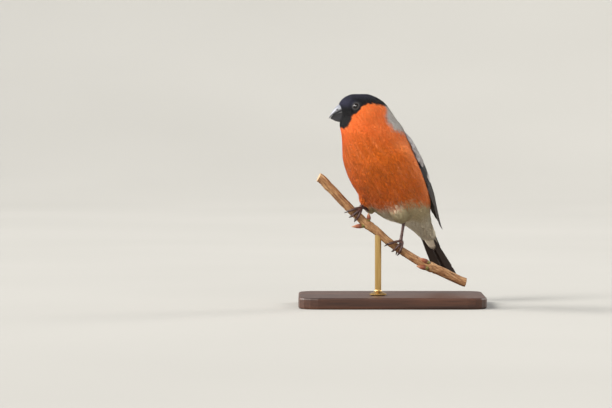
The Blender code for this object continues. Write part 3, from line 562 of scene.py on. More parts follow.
def linked(name, data):
    """A new object in the scene."""
    item = bpy.data.objects.new(name, data)
    bpy.context.scene.collection.objects.link(item)
    return item


def new_piece(name, mesh, material, replaces=()):
    """An object that rides with the model, and stands for the solids it names."""
    piece = linked(name, mesh)
    mesh.materials.clear()
    mesh.materials.append(material)
    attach(piece, BODY)
    if replaces:
        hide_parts(*replaces)
    return piece


def remeshed(mesh, voxel, rounds):
    """The mesh as one closed surface of small even faces, smoothed by some rounds."""
    guide = linked("guide", mesh)
    remesh = guide.modifiers.new("remesh", "REMESH")
    remesh.mode = "VOXEL"
    remesh.voxel_size = voxel * MM
    remesh.use_smooth_shade = True
    soften = guide.modifiers.new("soften", "SMOOTH")
    soften.factor = 0.5
    soften.iterations = rounds
    bpy.context.view_layer.update()
    graph = bpy.context.evaluated_depsgraph_get()
    made = bpy.data.meshes.new_from_object(guide.evaluated_get(graph))
    bpy.data.objects.remove(guide)
    return made


def grid_faces(rows, columns, closed=True):
    """Quads over a grid of points, which closes round on itself in its second direction."""
    here = np.arange(rows * columns).reshape(rows, columns)
    there = np.roll(here, -1, 1) if closed else here[:, 1:]
    here = here if closed else here[:, :-1]
    return np.stack((here[:-1], there[:-1], there[1:], here[1:]), -1).reshape(-1, 4)


def halves(quads):
    """Quads, each cut into two triangles."""
    return np.concatenate((quads[:, :3], quads[:, (0, 2, 3)]))


def capped(rings):
    """Points and triangles of a closed solid through rings of points, with a middle point at each end."""
    rows, columns = rings.shape[:2]
    first, last = rows * columns, rows * columns + 1
    edge = np.arange(columns)
    after = np.roll(edge, -1)
    low = np.stack((after, edge, np.full(columns, first)), -1)
    high = np.stack((edge + first - columns, after + first - columns, np.full(columns, last)), -1)
    faces = np.concatenate((halves(grid_faces(rows, columns)), low, high))
    points = np.concatenate((rings.reshape(-1, 3), rings[0].mean(0)[None], rings[-1].mean(0)[None]))
    return facing_out(points, faces)


def facing_out(points, faces):
    """The same solid, with its faces turned out."""
    a, b, c = (points[faces[:, k]] for k in range(3))
    volume = np.einsum("ij,ij->i", a, np.cross(b, c)).sum()
    return points, faces if volume > 0 else faces[:, ::-1]


def frames_along(line):
    """The way, the side and the upper side at each point of a line, turned as little as possible."""
    way = unit(np.gradient(line, axis=0))
    side = np.zeros_like(way)
    start = np.cross(way[0], (0.31, 0.42, 0.85))
    for k in range(len(way)):
        start = start - way[k] * (start @ way[k])
        start = start / np.linalg.norm(start)
        side[k] = start
    return way, side, np.cross(way, side)


def tube_rings(line, radii, sides):
    """Rings of points round a line."""
    _, side, over = frames_along(line)
    ring = circle(turns_of(sides), side[:, None], over[:, None])
    return line[:, None] + ring * np.asarray(radii)[:, None, None]


def merged(solids):
    """Several solids, each as points and triangles, in one pair of arrays."""
    points, faces, count = [], [], 0
    for some_points, some_faces in solids:
        points.append(some_points)
        faces.append(some_faces + count)
        count += len(some_points)
    return np.concatenate(points), np.concatenate(faces)


def places_of(mesh, key="co"):
    """Every point of a mesh, or its normal, as rows."""
    rows = np.empty(len(mesh.vertices) * 3, np.float32)
    if key == "co":
        mesh.vertices.foreach_get("co", rows)
        return rows.reshape(-1, 3).astype(float) / MM
    mesh.vertex_normals.foreach_get("vector", rows)
    return rows.reshape(-1, 3).astype(float)


# Materials.

class Nodes:
    """A short way to write a material's nodes."""

    def __init__(self, name):
        self.material = bpy.data.materials.new(name)
        self.material.use_nodes = True
        self.tree = self.material.node_tree
        self.shader = self.tree.nodes["Principled BSDF"]

    def add(self, kind, settings=None, **inputs):
        node = self.tree.nodes.new(kind)
        for key, value in (settings or {}).items():
            setattr(node, key, value)
        for key, value in inputs.items():
            self.plug(node, key.replace("_", " "), value)
        return node

    def plug(self, node, key, value):
        socket = node.inputs[int(key)] if key.isdigit() else node.inputs[key]
        if isinstance(value, bpy.types.NodeSocket):
            self.tree.links.new(value, socket)
        elif isinstance(value, (tuple, list, np.ndarray)) and socket.type == "RGBA":
            socket.default_value = (*value[:3], 1.0)
        else:
            socket.default_value = value

    def surface(self, **inputs):
        """Sets the shader's sockets and gives the material back."""
        for key, value in inputs.items():
            self.plug(self.shader, key.replace("_", " "), value)
        return self.material

    def attribute(self, key, kind="Fac"):
        return self.add("ShaderNodeAttribute", {"attribute_name": key}).outputs[kind]

    def math(self, operation, first, second=0.0):
        node = self.add("ShaderNodeMath", {"operation": operation})
        self.plug(node, "0", first)
        self.plug(node, "1", second)
        return node.outputs[0]

    def plus(self, first, second):
        return self.math("ADD", first, second)

    def times(self, first, second):
        return self.math("MULTIPLY", first, second)

    def spots(self, scale, detail=3.0, stretch=None):
        """Soft noise in the object's own space, drawn out along its axes if asked."""
        place = self.add("ShaderNodeTexCoord").outputs["Object"]
        if stretch:
            place = self.add("ShaderNodeMapping", None, Vector=place, Scale=stretch).outputs[0]
        noise = self.add("ShaderNodeTexNoise", None, Vector=place, Scale=scale, Detail=detail)
        return noise.outputs["Fac"]

    def ramp(self, value, *stops):
        """A colour ramp, from rows of a place and a colour's usual 0 to 255 values."""
        node = self.add("ShaderNodeValToRGB", None, Fac=value)
        points = node.color_ramp.elements
        while len(points) < len(stops):
            points.new(0.5)
        for point, (place, *colour) in zip(points, stops):
            point.position = place
            point.color = (*srgb(*colour), 1.0)
        return node.outputs["Color"]

    def blend(self, first, second, share, mode="MIX"):
        node = self.add("ShaderNodeMix", {"data_type": "RGBA", "blend_type": mode})
        for number, value in ((0, share), (6, first), (7, second)):
            self.plug(node, str(number), value)
        return node.outputs[2]

    def bump(self, height, strength, distance):
        return self.add("ShaderNodeBump", None, Height=height, Strength=strength,
                        Distance=distance * MM).outputs["Normal"]


def feather_material(name, roughness, sheen, barbs, streak, coat=0.0, specular=0.3):
    """Feathers: their own tint, finer streaks along the barbs, and a shaft where they are long."""
    make = Nodes(name)
    tint = make.attribute("tint", "Color")
    along, across = make.attribute("along"), make.attribute("across")
    rake = make.plus(make.times(along, barbs), make.times(make.math("ABSOLUTE", across), -barbs * 0.35))
    lines = make.add("ShaderNodeTexNoise", {"noise_dimensions": "1D"}, W=rake, Scale=1.0, Detail=2.0)
    shade = make.plus(make.times(lines.outputs["Fac"], streak), 1.0 - streak * 0.5)
    grain = make.plus(make.times(make.spots(900.0), 0.3), 0.85)
    light = make.times(shade, grain)
    grey = make.add("ShaderNodeCombineColor", None, Red=light, Green=light, Blue=light).outputs[0]
    colour = make.blend(tint, grey, 1.0, "MULTIPLY")
    return make.surface(Base_Color=colour, Roughness=roughness, Sheen_Weight=sheen, Sheen_Roughness=0.45,
                        Specular_IOR_Level=specular, Coat_Weight=coat, Coat_Roughness=0.35,
                        Normal=make.bump(lines.outputs["Fac"], 0.35, 0.05))


def skin_material():
    """Bare skin, tinted like the plumage over it."""
    make = Nodes("skin_under_down")
    tint = make.attribute("tint", "Color")
    colour = make.blend(tint, (0.5, 0.47, 0.45), make.spots(1400.0, 4.0), "MULTIPLY")
    return make.surface(Base_Color=colour, Roughness=0.85,
                        Normal=make.bump(make.spots(2600.0, 4.0), 0.6, 0.1))


# The form that the coat lies on, and its markings.

class Form:
    """The outline of the plumage as one smooth surface, with the nearest ring and angle at any point."""

    def __init__(self):
        places = np.linspace(0.0, LAST_RING, FORM_RINGS)
        angles = turns_of(FORM_SIDES)
        self.places, self.angles = (part.ravel() for part in np.meshgrid(places, angles, indexing="ij"))
        grid = body_points(self.places, self.angles).reshape(FORM_RINGS, FORM_SIDES, 3)
        solids = [capped(grid)]
        for leg in FEET:
            solids.append(capped(tube_rings(*thigh_line(leg), THIGH_SIDES)))
        self.mesh = remeshed(new_mesh("form", *merged(solids)), FORM_VOXEL, FORM_SMOOTHING)
        self.points = places_of(self.mesh)
        self.normals = places_of(self.mesh, "normal")
        form = bmesh.new()
        form.from_mesh(self.mesh)
        self.tree = BVHTree.FromBMesh(form)
        form.free()
        self.nearest = KDTree(len(self.places))
        for number, place in enumerate(grid.reshape(-1, 3)):
            self.nearest.insert(place, number)
        self.nearest.balance()

    def snap(self, points):
        """The nearest points of the surface, and the normals there."""
        found = [self.tree.find_nearest(Vector(point * MM)) for point in points]
        places = np.array([hit[0] for hit in found]) / MM
        return places, np.array([hit[1] for hit in found])

    def ring_and_angle(self, points):
        """Ring number, angle from the belly (0 to 180) and side for each point."""
        found = np.array([self.nearest.find(point)[1] for point in points])
        angle = (np.degrees(self.angles[found]) + 180.0) % 360.0 - 180.0
        return self.places[found], angle


def thigh_line(leg):
    """Middle line and radii of a feathered thigh."""
    shares, radii = np.array(THIGH_PROFILE).T
    way = unit(THIGH_WAY)
    line = FEET[leg][1] + way * (THIGH_LENGTH * shares - THIGH_DROP)[:, None]
    dense = np.linspace(0.0, len(shares) - 1.0, 22)
    values = smooth(np.concatenate((line, radii[:, None]), 1), dense)
    return values[:, :3], values[:, 3] * THIGH_FULLNESS[leg]


# Cap edge on the head, as x and the height above which the head is black.
CAP_EDGE = (
    (-36.0, 112.8), (-33.5, 111.9), (-31.4, 111.2), (-29.8, 110.9), (-27.6, 112.4), (-25.8, 116.3),
    (-24.9, 118.7), (-23.1, 119.8), (-20.8, 121.6), (-19.0, 124.3), (-16.3, 125.9), (-13.4, 126.2),
    (-9.5, 125.9), (-3.9, 124.6), (-3.0, 126.0), (0.0, 140.0),
)
# Ring number, and the angle from the belly at which orange gives way to the grey of nape and back.
GREY_EDGE = (
    (0.0, 92.0), (3.0, 100.0), (6.0, 112.0), (7.6, 125.0), (8.6, 134.0), (9.5, 140.0), (9.97, 124.0),
    (10.25, 107.0), (10.8, 117.0), (11.8, 133.0), (12.3, 139.0), (13.0, 147.0), (14.0, 152.0),
)
# Angle from the belly, and the ring number at which orange gives way to the white of the belly.
BELLY_EDGE = (
    (0.0, 5.35), (30.0, 5.38), (46.0, 5.2), (58.0, 4.98), (72.0, 4.6), (85.0, 4.0), (95.0, 3.4), (130.0, 2.6),
)
RUMP_RING = 4.4


def cap_share(points, softness):
    """1 where the head is black, 0 outside the cap and bib."""
    edge = read_table(CAP_EDGE, points[:, 0])
    on_head = points[:, 2] > 108.0
    return ease(points[:, 2] - edge + ragged(points) * 0.35, -softness, softness) * on_head


def on_thigh(points):
    """1 round the lower half of a thigh, where its feathers are pale, 0 away from it."""
    share = np.zeros(len(points))
    for leg, (_, ankle) in FEET.items():
        offset = points - ankle
        height = offset @ unit(THIGH_WAY)
        aside = np.linalg.norm(offset - height[:, None] * unit(THIGH_WAY), axis=1)
        share = np.maximum(share, (1.0 - ease(height, *THIGH_PALE[leg])) * (1.0 - ease(aside, 5.0, 8.0)))
    return share


def plumage(points, rings, angles, softness=0.3):
    """The plumage's colour at points of the form, by their ring numbers and angles."""
    round_belly = np.abs(angles)
    high = points[:, 2]
    lines = streaks(rings, angles)
    # Orange: paler towards the cheeks, deeper in patches and streaks, and a painted rim light along the flank
    # beside the wing.
    orange = mix(BREAST_ORANGE, CHEEK_ORANGE, ease(high, 90.0, 114.0))
    deep = (patchy(points) * 0.16 + lines * 0.3 + 0.24) * (1.0 - 0.75 * ease(high, 88.0, 114.0))
    orange = mix(orange, BREAST_DEEP, np.clip(deep, 0.0, 0.9))
    orange = mix(orange, THROAT_PALE, np.clip((-lines - 0.2) * 0.4, 0.0, 0.4))
    # Painted rim light on the flank's edge beside the wing, fading out below the head.
    painted_rim_light = ease(round_belly, 74.0, 94.0) * ease(rings, 3.0, 4.5) * (1.0 - 0.8 * ease(rings, 8.5, 10.0))
    orange = mix(orange, FLANK_PAINTED_RIM, painted_rim_light)
    # Grey of nape and back, with a wandering edge.
    grey = mix(BACK_GREY, NAPE_GREY, ease(rings, 7.0, 10.5))
    wander = ragged(points)
    edge = read_table(GREY_EDGE, rings)
    greyness = ease(round_belly + wander * 3.0 + lines * 3.0, edge - 7.0, edge + 7.0)
    colour = mix(orange, grey, greyness)
    # Pale belly, white rump, pale thighs, and last the cap with a painted bluish sheen on its crown and
    # forehead.
    white_ring = read_table(BELLY_EDGE, round_belly)
    whiteness = ease(white_ring - rings + wander * 0.16 + mottled(points) * 0.1, -0.38, 0.4)
    whiteness = whiteness * (1.0 - ease(round_belly, 128.0, 140.0))
    rump = ease(RUMP_RING - rings + wander * 0.2, -0.25, 0.25) * ease(round_belly, 118.0, 132.0)
    # Whiter towards the vent and the middle of the belly: the bird's own white, and a painted glow of back
    # light along the belly's lower edge.
    vent_white_and_glow = ease(-rings, -3.6, -1.6) + ease(-round_belly, -46.0, -22.0) + mottled(points) * 0.15 + lines * 0.1
    colour = mix(colour, mix(BELLY_BUFF, DOWN_WHITE, np.clip(vent_white_and_glow, 0.0, 1.0)), whiteness)
    colour = mix(colour, RUMP_WHITE, rump)
    colour = mix(colour, BELLY_BUFF * 0.85, on_thigh(points))
    # Painted sheen: bluish over the crown and the forehead of the black cap.
    forehead_sheen = ease(-points[:, 0], 20.0, 31.0) * ease(high, 122.0, 127.0)
    cap = mix(CAP_BLACK, CAP_PAINTED_SHEEN, np.maximum(ease(high, 127.5, 132.0) * 0.7, forehead_sheen))
    return mix(colour, cap, cap_share(points, softness))


# Where the head's openings are.

def eye_middle(side):
    """Middle of an eye and the way it looks out."""
    place, angle, step = EYE_PLACE, side * math.radians(EYE_FORWARD_ANGLE), 0.03
    around = np.array(((place, angle), (place + step, angle), (place - step, angle),
                       (place, angle + step), (place, angle - step)))
    here, above, below, after, before = body_points(around[:, 0], around[:, 1])
    out = unit(np.cross(after - before, above - below))
    if out @ (here - HEAD_MIDDLE) < 0:
        out = -out
    return here - out * EYE_DEPTH, out


HEAD_MIDDLE = np.array(HEAD_RINGS[4][:3])
EYES = {side: eye_middle(side) for side in (1, -1)}


def bill_axes():
    """The ways along the bill, over it and to its side."""
    droop = math.radians(BILL_DROOP)
    ahead = np.array((-math.cos(droop), 0.0, -math.sin(droop)))
    over = np.array((-math.sin(droop), 0.0, math.cos(droop)))
    return ahead, over, np.array((0.0, -1.0, 0.0))


BILL_AHEAD, BILL_OVER, BILL_SIDE = bill_axes()


def bill_points(along, over, side):
    """Points given along the bill, over it and to its side."""
    along, over, side = (np.asarray(value, float)[..., None] for value in (along, over, side))
    return BILL_BASE + BILL_AHEAD * along + BILL_OVER * over + BILL_SIDE * side


def bill_coordinates(points):
    """How far points lie along the bill, over it and to its side."""
    offset = points - BILL_BASE
    return offset @ BILL_AHEAD, offset @ BILL_OVER, offset @ BILL_SIDE


def in_bill(points, room):
    """Where points lie inside the bill's root, grown by some room."""
    along, over, side = bill_coordinates(points)
    return (along > -5.0) & (((over - 0.5) / (5.6 + room)) ** 2 + (side / (4.7 + room)) ** 2 < 1.0)


def eye_distance(points):
    """How far points are from the middle of the nearer eye."""
    return np.minimum(*(np.linalg.norm(points - EYES[side][0], axis=1) for side in (1, -1)))


# The lie of the coat.

NECK_WAY = unit(np.array((0.42, 0.12, -0.9)))
AWAY_FROM = BILL_BASE + BILL_AHEAD * 3.0
# Pairs: a feather's length by its distance from the bill, an eye or an ankle, and the coat's depth by length.
SIZE_BY_REACH = (
    (3.0, 1.3), (7.0, 1.9), (14.0, 2.7), (24.0, 3.7), (36.0, 5.0), (60.0, 6.6), (90.0, 8.0), (120.0, 8.0),
)
SIZE_BY_EYE = ((3.2, 1.0), (5.0, 1.7), (9.0, 3.0))
SIZE_BY_ANKLE = ((1.0, 2.2), (6.0, 4.0), (14.0, 8.0))
DEPTH_BY_SIZE = ((1.0, 0.26), (2.5, 0.5), (5.0, 1.0), (8.0, 1.35))
# Where the folded wing hides the coat along the axis, and a last row for it, beyond the wing's core: along
# the axis, lowest and highest angle.
HIDDEN_ALONG = (-46.0, 21.0)
HIDDEN_LAST = (-48.0, 120.0, 128.0)
# Points drawn for the coat and its barbs, before those too near each other go.
COAT_DRAWS = 220000
BARB_DRAWS = 230000
GAP_STEP = 1.25
# Over what distances the lie of the coat changes: from the bill, up the neck, round an eye and a thigh.
FACE_REACH = (9.0, 27.0)
NECK_HEIGHTS = (98.0, 114.0)
EYE_REACH = (3.2, 5.4)
THIGH_REACH = (4.5, 8.0)


def lie(points, normals):
    """The way in which feathers lie at points of the form."""
    away = unit(points - AWAY_FROM)
    reach = np.linalg.norm(points - AWAY_FROM, axis=1)
    tailward = mix(-BODY_UP, NECK_WAY, ease(points[:, 2], *NECK_HEIGHTS))
    way = mix(away, tailward, ease(reach, *FACE_REACH))
    for side in (1, -1):
        centre, _ = EYES[side]
        offset = points - centre
        near = np.linalg.norm(offset, axis=1)
        way = way + unit(offset) * (1.3 * (1.0 - ease(near, *EYE_REACH)))[:, None]
    for leg in FEET:
        line, _ = thigh_line(leg)
        near = np.linalg.norm(points[:, None] - line[None, ::4], axis=2).min(1)
        share = (1.0 - ease(near, *THIGH_REACH))[:, None]
        way = way * (1.0 - share) - unit(THIGH_WAY) * share
    way = way - normals * (way * normals).sum(1)[:, None]
    return unit(way)


def coat_size(points):
    """How long the feathers are at points of the form."""
    reach = np.linalg.norm(points - AWAY_FROM, axis=1)
    size = read_table(SIZE_BY_REACH, reach)
    near_eye = eye_distance(points)
    size = np.minimum(size, read_table(SIZE_BY_EYE, near_eye) + (near_eye > 9.0) * 99.0)
    for leg in FEET:
        near = np.linalg.norm(points - FEET[leg][1], axis=1)
        size = np.minimum(size, read_table(SIZE_BY_ANKLE, near))
    return size


def coat_depth(size):
    """How deep the coat is over the skin, from the feathers' length."""
    return read_table(DEPTH_BY_SIZE, size)


def under_wing(points, margin):
    """Where the folded wings hide the coat."""
    along, back, left = body_coordinates(points)
    table = np.array(WING_RINGS)
    shift = np.interp(along, table[:, 0], table[:, 1])
    angle = np.degrees(np.arctan2(np.abs(left), -(back - shift)))
    rows = -np.array((*CORE_ALONG, HIDDEN_LAST[0]))
    low = np.interp(-along, rows, (*CORE_LOW, HIDDEN_LAST[1])) + margin
    high = np.interp(-along, rows, (*CORE_HIGH, HIDDEN_LAST[2])) - margin
    start, end = HIDDEN_ALONG
    return (along > start) & (along < end) & (angle > low) & (angle < high)


def scattered(form, spacing, draws):
    """Points spread evenly over the form, a spacing apart that the points' own place sets."""
    mesh = form.mesh
    mesh.calc_loop_triangles()
    corners = np.empty(len(mesh.loop_triangles) * 3, np.int32)
    mesh.loop_triangles.foreach_get("vertices", corners)
    a, b, c = (form.points[corners.reshape(-1, 3)[:, k]] for k in range(3))
    areas = np.linalg.norm(np.cross(b - a, c - a), axis=1) / 2.0
    weights = areas / spacing((a + b + c) / 3.0) ** 2
    chosen = chance.choice(len(areas), draws, p=weights / weights.sum())
    u, v = chance.random((2, draws, 1))
    flip = u + v > 1.0
    u, v = np.where(flip, 1.0 - u, u), np.where(flip, 1.0 - v, v)
    points = a[chosen] + (b[chosen] - a[chosen]) * u + (c[chosen] - a[chosen]) * v
    return thinned(points, spacing(points))


def thinned(points, gaps):
    """Keeps points that have no earlier one nearer than their gap, in steps of gap size."""
    kept = np.zeros(len(points), bool)
    steps = np.round(np.log(gaps) / math.log(GAP_STEP)).astype(int)
    for step in np.unique(steps):
        gap = GAP_STEP ** float(step)
        taken = {}
        for number in np.flatnonzero(steps == step):
            x, y, z = points[number]
            i, j, k = int(x // gap), int(y // gap), int(z // gap)
            near = (q for di in (-1, 0, 1) for dj in (-1, 0, 1) for dk in (-1, 0, 1)
                    for q in taken.get((i + di, j + dj, k + dk), ()))
            if all((x - q[0]) ** 2 + (y - q[1]) ** 2 + (z - q[2]) ** 2 > gap * gap for q in near):
                taken.setdefault((i, j, k), []).append((x, y, z))
                kept[number] = True
    return points[kept]


# Small feathers.

class Vane:
    """The pattern of a small feather: a closed thin vane whose end is frayed into points."""

    def __init__(self, rows, shares, tip_drop):
        self.shares = np.array((*shares, 1.0))
        places, self.rows = [], []
        for level in (0.0, 1.0):
            for count, share in zip(rows, shares):
                start = len(places)
                self.rows.append(list(range(start, start + count)))
                places += [(share, -1.0 + 2.0 * k / (count - 1), level) for k in range(count)]
        self.teeth = rows[-1] - 1
        tips = []
        for k in range(self.teeth):
            across = -1.0 + (2.0 * k + 1.0) / self.teeth
            tips.append(len(places))
            places.append((1.0 - tip_drop * across * across, across, 0.5))
        self.along, self.across, self.level = np.array(places).T
        self.is_tip = np.zeros(len(places), bool)
        self.is_tip[tips] = True
        self.faces = np.array(self.close(len(rows), tips))

    def strip(self, near, far):
        """Triangles between two rows, each step taken where the next point lies lower across."""
        made, i, j = [], 0, 0
        while i < len(near) - 1 or j < len(far) - 1:
            next_near = (i + 1) / (len(near) - 1) if i < len(near) - 1 else 9.0
            next_far = (j + 1) / (len(far) - 1) if j < len(far) - 1 else 9.0
            if next_near <= next_far:
                made.append((near[i], far[j], near[i + 1]))
                i += 1
            else:
                made.append((near[i], far[j], far[j + 1]))
                j += 1
        return made

    def close(self, count, tips):
        top, low = self.rows[:count], self.rows[count:]
        faces = []
        for k in range(count - 1):
            faces += self.strip(top[k], top[k + 1])
            faces += [face[::-1] for face in self.strip(low[k], low[k + 1])]
            for row, sense in ((0, 1), (-1, -1)):
                a, b, c, d = top[k][row], low[k][row], low[k + 1][row], top[k + 1][row]
                faces += [(a, b, c)[::sense], (a, c, d)[::sense]]
        for k, tip in enumerate(tips):
            faces.append((top[-1][k], tip, top[-1][k + 1]))
            faces.append((low[-1][k + 1], tip, low[-1][k]))
            faces.append((top[-1][k], low[-1][k], tip))
            faces.append((low[-1][k + 1], top[-1][k + 1], tip))
        first, last = top[0][0], top[0][-1]
        faces += [(first, last, low[0][-1]), (first, low[0][-1], low[0][0])]
        return faces


class Barb:
    """The pattern of a loose barb: a thin three-sided strand that runs out to a point."""

    def __init__(self):
        self.shares = np.array((0.0, 0.5, 1.0))
        self.along = np.array((0.0, 0.0, 0.0, 0.5, 0.5, 0.5, 1.0))
        self.across = np.array((-1.0, 1.0, 0.0, -1.0, 1.0, 0.0, 0.0))
        self.level = np.array((0.0, 0.0, 1.0, 0.0, 0.0, 1.0, 0.5))
        self.is_tip = self.along == 1.0
        faces = [(0, 2, 1)]
        for a, b in ((0, 1), (1, 2), (2, 0)):
            faces += [(a, b, b + 3), (a, b + 3, a + 3), (a + 3, b + 3, 6)]
        self.faces = np.array(faces)


BODY_VANE = Vane((2, 5, 8), (0.0, 0.32, 0.58), 0.3)
SMALL_VANE = Vane((2, 4, 5), (0.0, 0.35, 0.62), 0.3)
BARB = Barb()


def width_at(share):
    """Share of a small feather's width along its length."""
    return np.interp(share, (0.0, 0.3, 0.6, 0.8, 1.0), (0.3, 0.8, 1.0, 0.92, 0.7))


def follow(form, roots, normals, lengths, shares, turn, lie_of):
    """Middle lines of feathers, which start at their roots and follow the lie of the coat."""
    lines, outs = [roots], [normals]
    here, out = roots, normals
    cos, sin = np.cos(turn)[:, None], np.sin(turn)[:, None]
    for step in np.diff(shares):
        way = lie_of(here, out)
        way = way * cos + np.cross(out, way) * sin
        here, out = form.snap(here + way * (lengths * step)[:, None])
        lines.append(here)
        outs.append(out)
    return np.stack(lines, 1), np.stack(outs, 1)


def feathers(pattern, lines, outs, widths, lifts, thickness, cup, fray):
    """Points of many small feathers from their middle lines. Lifts has one column per row and the tip."""
    step = np.searchsorted(pattern.shares, pattern.along, side="right") - 1
    step = np.clip(step, 0, len(pattern.shares) - 2)
    part = (pattern.along - pattern.shares[step]) / (pattern.shares[step + 1] - pattern.shares[step])
    count = len(lines)
    part = np.broadcast_to(part, (count, len(part))).copy()
    part[:, pattern.is_tip] += chance.normal(0.0, fray, (count, int(pattern.is_tip.sum())))
    part = part[..., None]
    place = lines[:, step] * (1.0 - part) + lines[:, step + 1] * part
    out = unit(outs[:, step] * (1.0 - part) + outs[:, step + 1] * part)
    way = unit(lines[:, step + 1] - lines[:, step])
    side = unit(np.cross(out, way))
    lift = lifts[:, step] * (1.0 - part[..., 0]) + lifts[:, step + 1] * part[..., 0]
    across = np.broadcast_to(pattern.across, (count, len(step))).copy()
    across[:, pattern.is_tip] += chance.normal(0.0, fray * 0.3, (count, int(pattern.is_tip.sum())))
    wide = widths[:, None] * width_at(pattern.along)[None]
    lift = lift - cup * widths[:, None] * across**2 - thickness * pattern.level[None]
    return place + side * (across * wide)[..., None] + out * lift[..., None]


def coat_mesh(name, pattern, points, tints, uv):
    """One mesh of many small feathers, with a tint and a patch of the unwrap for each."""
    count, size = points.shape[:2]
    faces = (np.arange(count)[:, None, None] * size + pattern.faces[None]).reshape(-1, 3)
    values = {
        "tint": np.repeat(tints, size, 0) * (0.88 + 0.16 * np.tile(pattern.along, count))[:, None],
        "along": np.tile(pattern.along, count) + np.repeat(chance.random(count) * 40.0, size),
        "across": np.tile(pattern.across, count),
    }
    patch = np.stack((pattern.across, pattern.along * 2.0 - 1.0), -1) * 0.0014
    spread = (uv[:, None] + patch[None]).reshape(-1, 2)
    return new_mesh(name, points.reshape(-1, 3), faces, values, spread)


def unwrap(rings, angles):
    """Where points of the form lie on the unwrap of the skin."""
    return np.stack((0.5 + angles / 360.0 * 0.98, 0.02 + 0.96 * rings / LAST_RING), -1)


MOST_TRIANGLES = 190000


def add_coat(name, material, pattern, points, tints, uv):
    """Adds feathers as one or more pieces, each of no more than MOST_TRIANGLES triangles."""
    each = MOST_TRIANGLES // len(pattern.faces)
    pieces = max(1, math.ceil(len(points) / each))
    for number, chosen in enumerate(np.array_split(np.arange(len(points)), pieces)):
        mesh = coat_mesh(name, pattern, points[chosen], tints[chosen], uv[chosen])
        new_piece(f"{name}_{number + 1}", mesh, material)


def spacing_of_coat(points):
    """How far apart small feathers stand."""
    size = coat_size(points)
    return size * np.interp(size, (1.5, 5.0), (0.155, 0.15)) + 0.06


def build_coat(form):
    """The small feathers of head, neck, torso and thighs."""
    roots = scattered(form, spacing_of_coat, COAT_DRAWS)
    roots = roots[~in_bill(roots, -0.6) & (eye_distance(roots) > 3.25) & ~under_wing(roots, 7.0)]
    roots, normals = form.snap(roots)
    rings, angles = form.ring_and_angle(roots)
    size = coat_size(roots) * chance.uniform(0.88, 1.14, len(roots))
    depth = coat_depth(size)
    turn = chance.normal(0.0, 0.13, len(roots))
    way = lie(roots, normals)
    seen = roots + way * (size * 0.55)[:, None]
    tints = plumage(seen, rings - size * 0.07 * (rings < 9.5), angles, 0.12)
    tints = tints * chance.normal(1.0, 0.04, (len(roots), 1)).clip(0.85, 1.15)
    black = cap_share(seen, 0.1) > 0.5
    uv = unwrap(rings, angles)
    soft = feather_material("plumage_soft", roughness=0.75, sheen=0.06, barbs=26.0, streak=0.3)
    cap = feather_material("plumage_cap", roughness=0.6, sheen=0.0, barbs=26.0, streak=0.4, coat=0.02,
                           specular=0.2)
    small = size < 3.4
    for name, chosen, pattern, material, slot in (
            ("coat_cap", black, SMALL_VANE, cap, "cap_black"),
            ("coat_face", ~black & small, SMALL_VANE, soft, "plumage_red"),
            ("coat_body", ~black & ~small, BODY_VANE, soft, "plumage_red")):
        lines, outs = follow(form, roots[chosen], normals[chosen], size[chosen], pattern.shares,
                             turn[chosen], lie)
        deep = depth[chosen][:, None]
        rise = pattern.shares[None] ** 0.8
        loose = chance.uniform(0.02, 0.3, (chosen.sum(), 1)) * deep
        lifts = -deep * 0.9 + (deep * 0.9 + loose) * rise
        points = feathers(pattern, lines, outs, size[chosen] * 0.17, lifts,
                          thickness=0.05, cup=0.1, fray=0.14)
        add_coat(name, material, pattern, points, tints[chosen], uv[chosen])
    return soft


def build_barbs(form, material):
    """Loose fine barbs over the coat, which soften its outline."""
    roots = scattered(form, lambda points: coat_size(points) * 0.07 + 0.14, BARB_DRAWS)
    keep = ~in_bill(roots, 0.5) & (eye_distance(roots) > 4.6) & ~under_wing(roots, 4.0)
    roots, normals = form.snap(roots[keep])
    rings, angles = form.ring_and_angle(roots)
    size = coat_size(roots) * chance.uniform(0.45, 0.85, len(roots))
    way = lie(roots, normals)
    tints = plumage(roots + way * (size * 0.5)[:, None], rings, angles, 0.12)
    tints = tints * chance.normal(1.03, 0.05, (len(roots), 1)).clip(0.85, 1.2)
    lines, outs = follow(form, roots, normals, size, BARB.shares, chance.normal(0.0, 0.2, len(roots)), lie)
    deep = coat_depth(size)[:, None]
    rise = deep * (chance.uniform(0.3, 0.8, (len(roots), 1)) * BARB.shares[None] - 0.1)
    points = feathers(BARB, lines, outs, 0.035 + size * 0.011, rise, thickness=0.06, cup=0.0, fray=0.0)
    add_coat("coat_barbs", material, BARB, points, tints, unwrap(rings, angles))


def build_skin(form):
    """The skin under the coat, which takes the place of the solids of flesh."""
    points = form.points
    depth = coat_depth(coat_size(points)) * ease(eye_distance(points), 2.6, 4.0)
    rings, angles = form.ring_and_angle(points)
    mesh = form.mesh.copy()
    mesh.name = "skin"
    places = (points - form.normals * depth[:, None]) * MM
    mesh.vertices.foreach_set("co", places.astype(np.float32).ravel())
    mesh.update()
    store(mesh, "tint", plumage(points, rings, angles) * 0.8)
    new_piece("skin", mesh, skin_material(),
              ("head", "neck", "torso", "thigh_left", "thigh_right"))


# Long feathers of wings and tail.

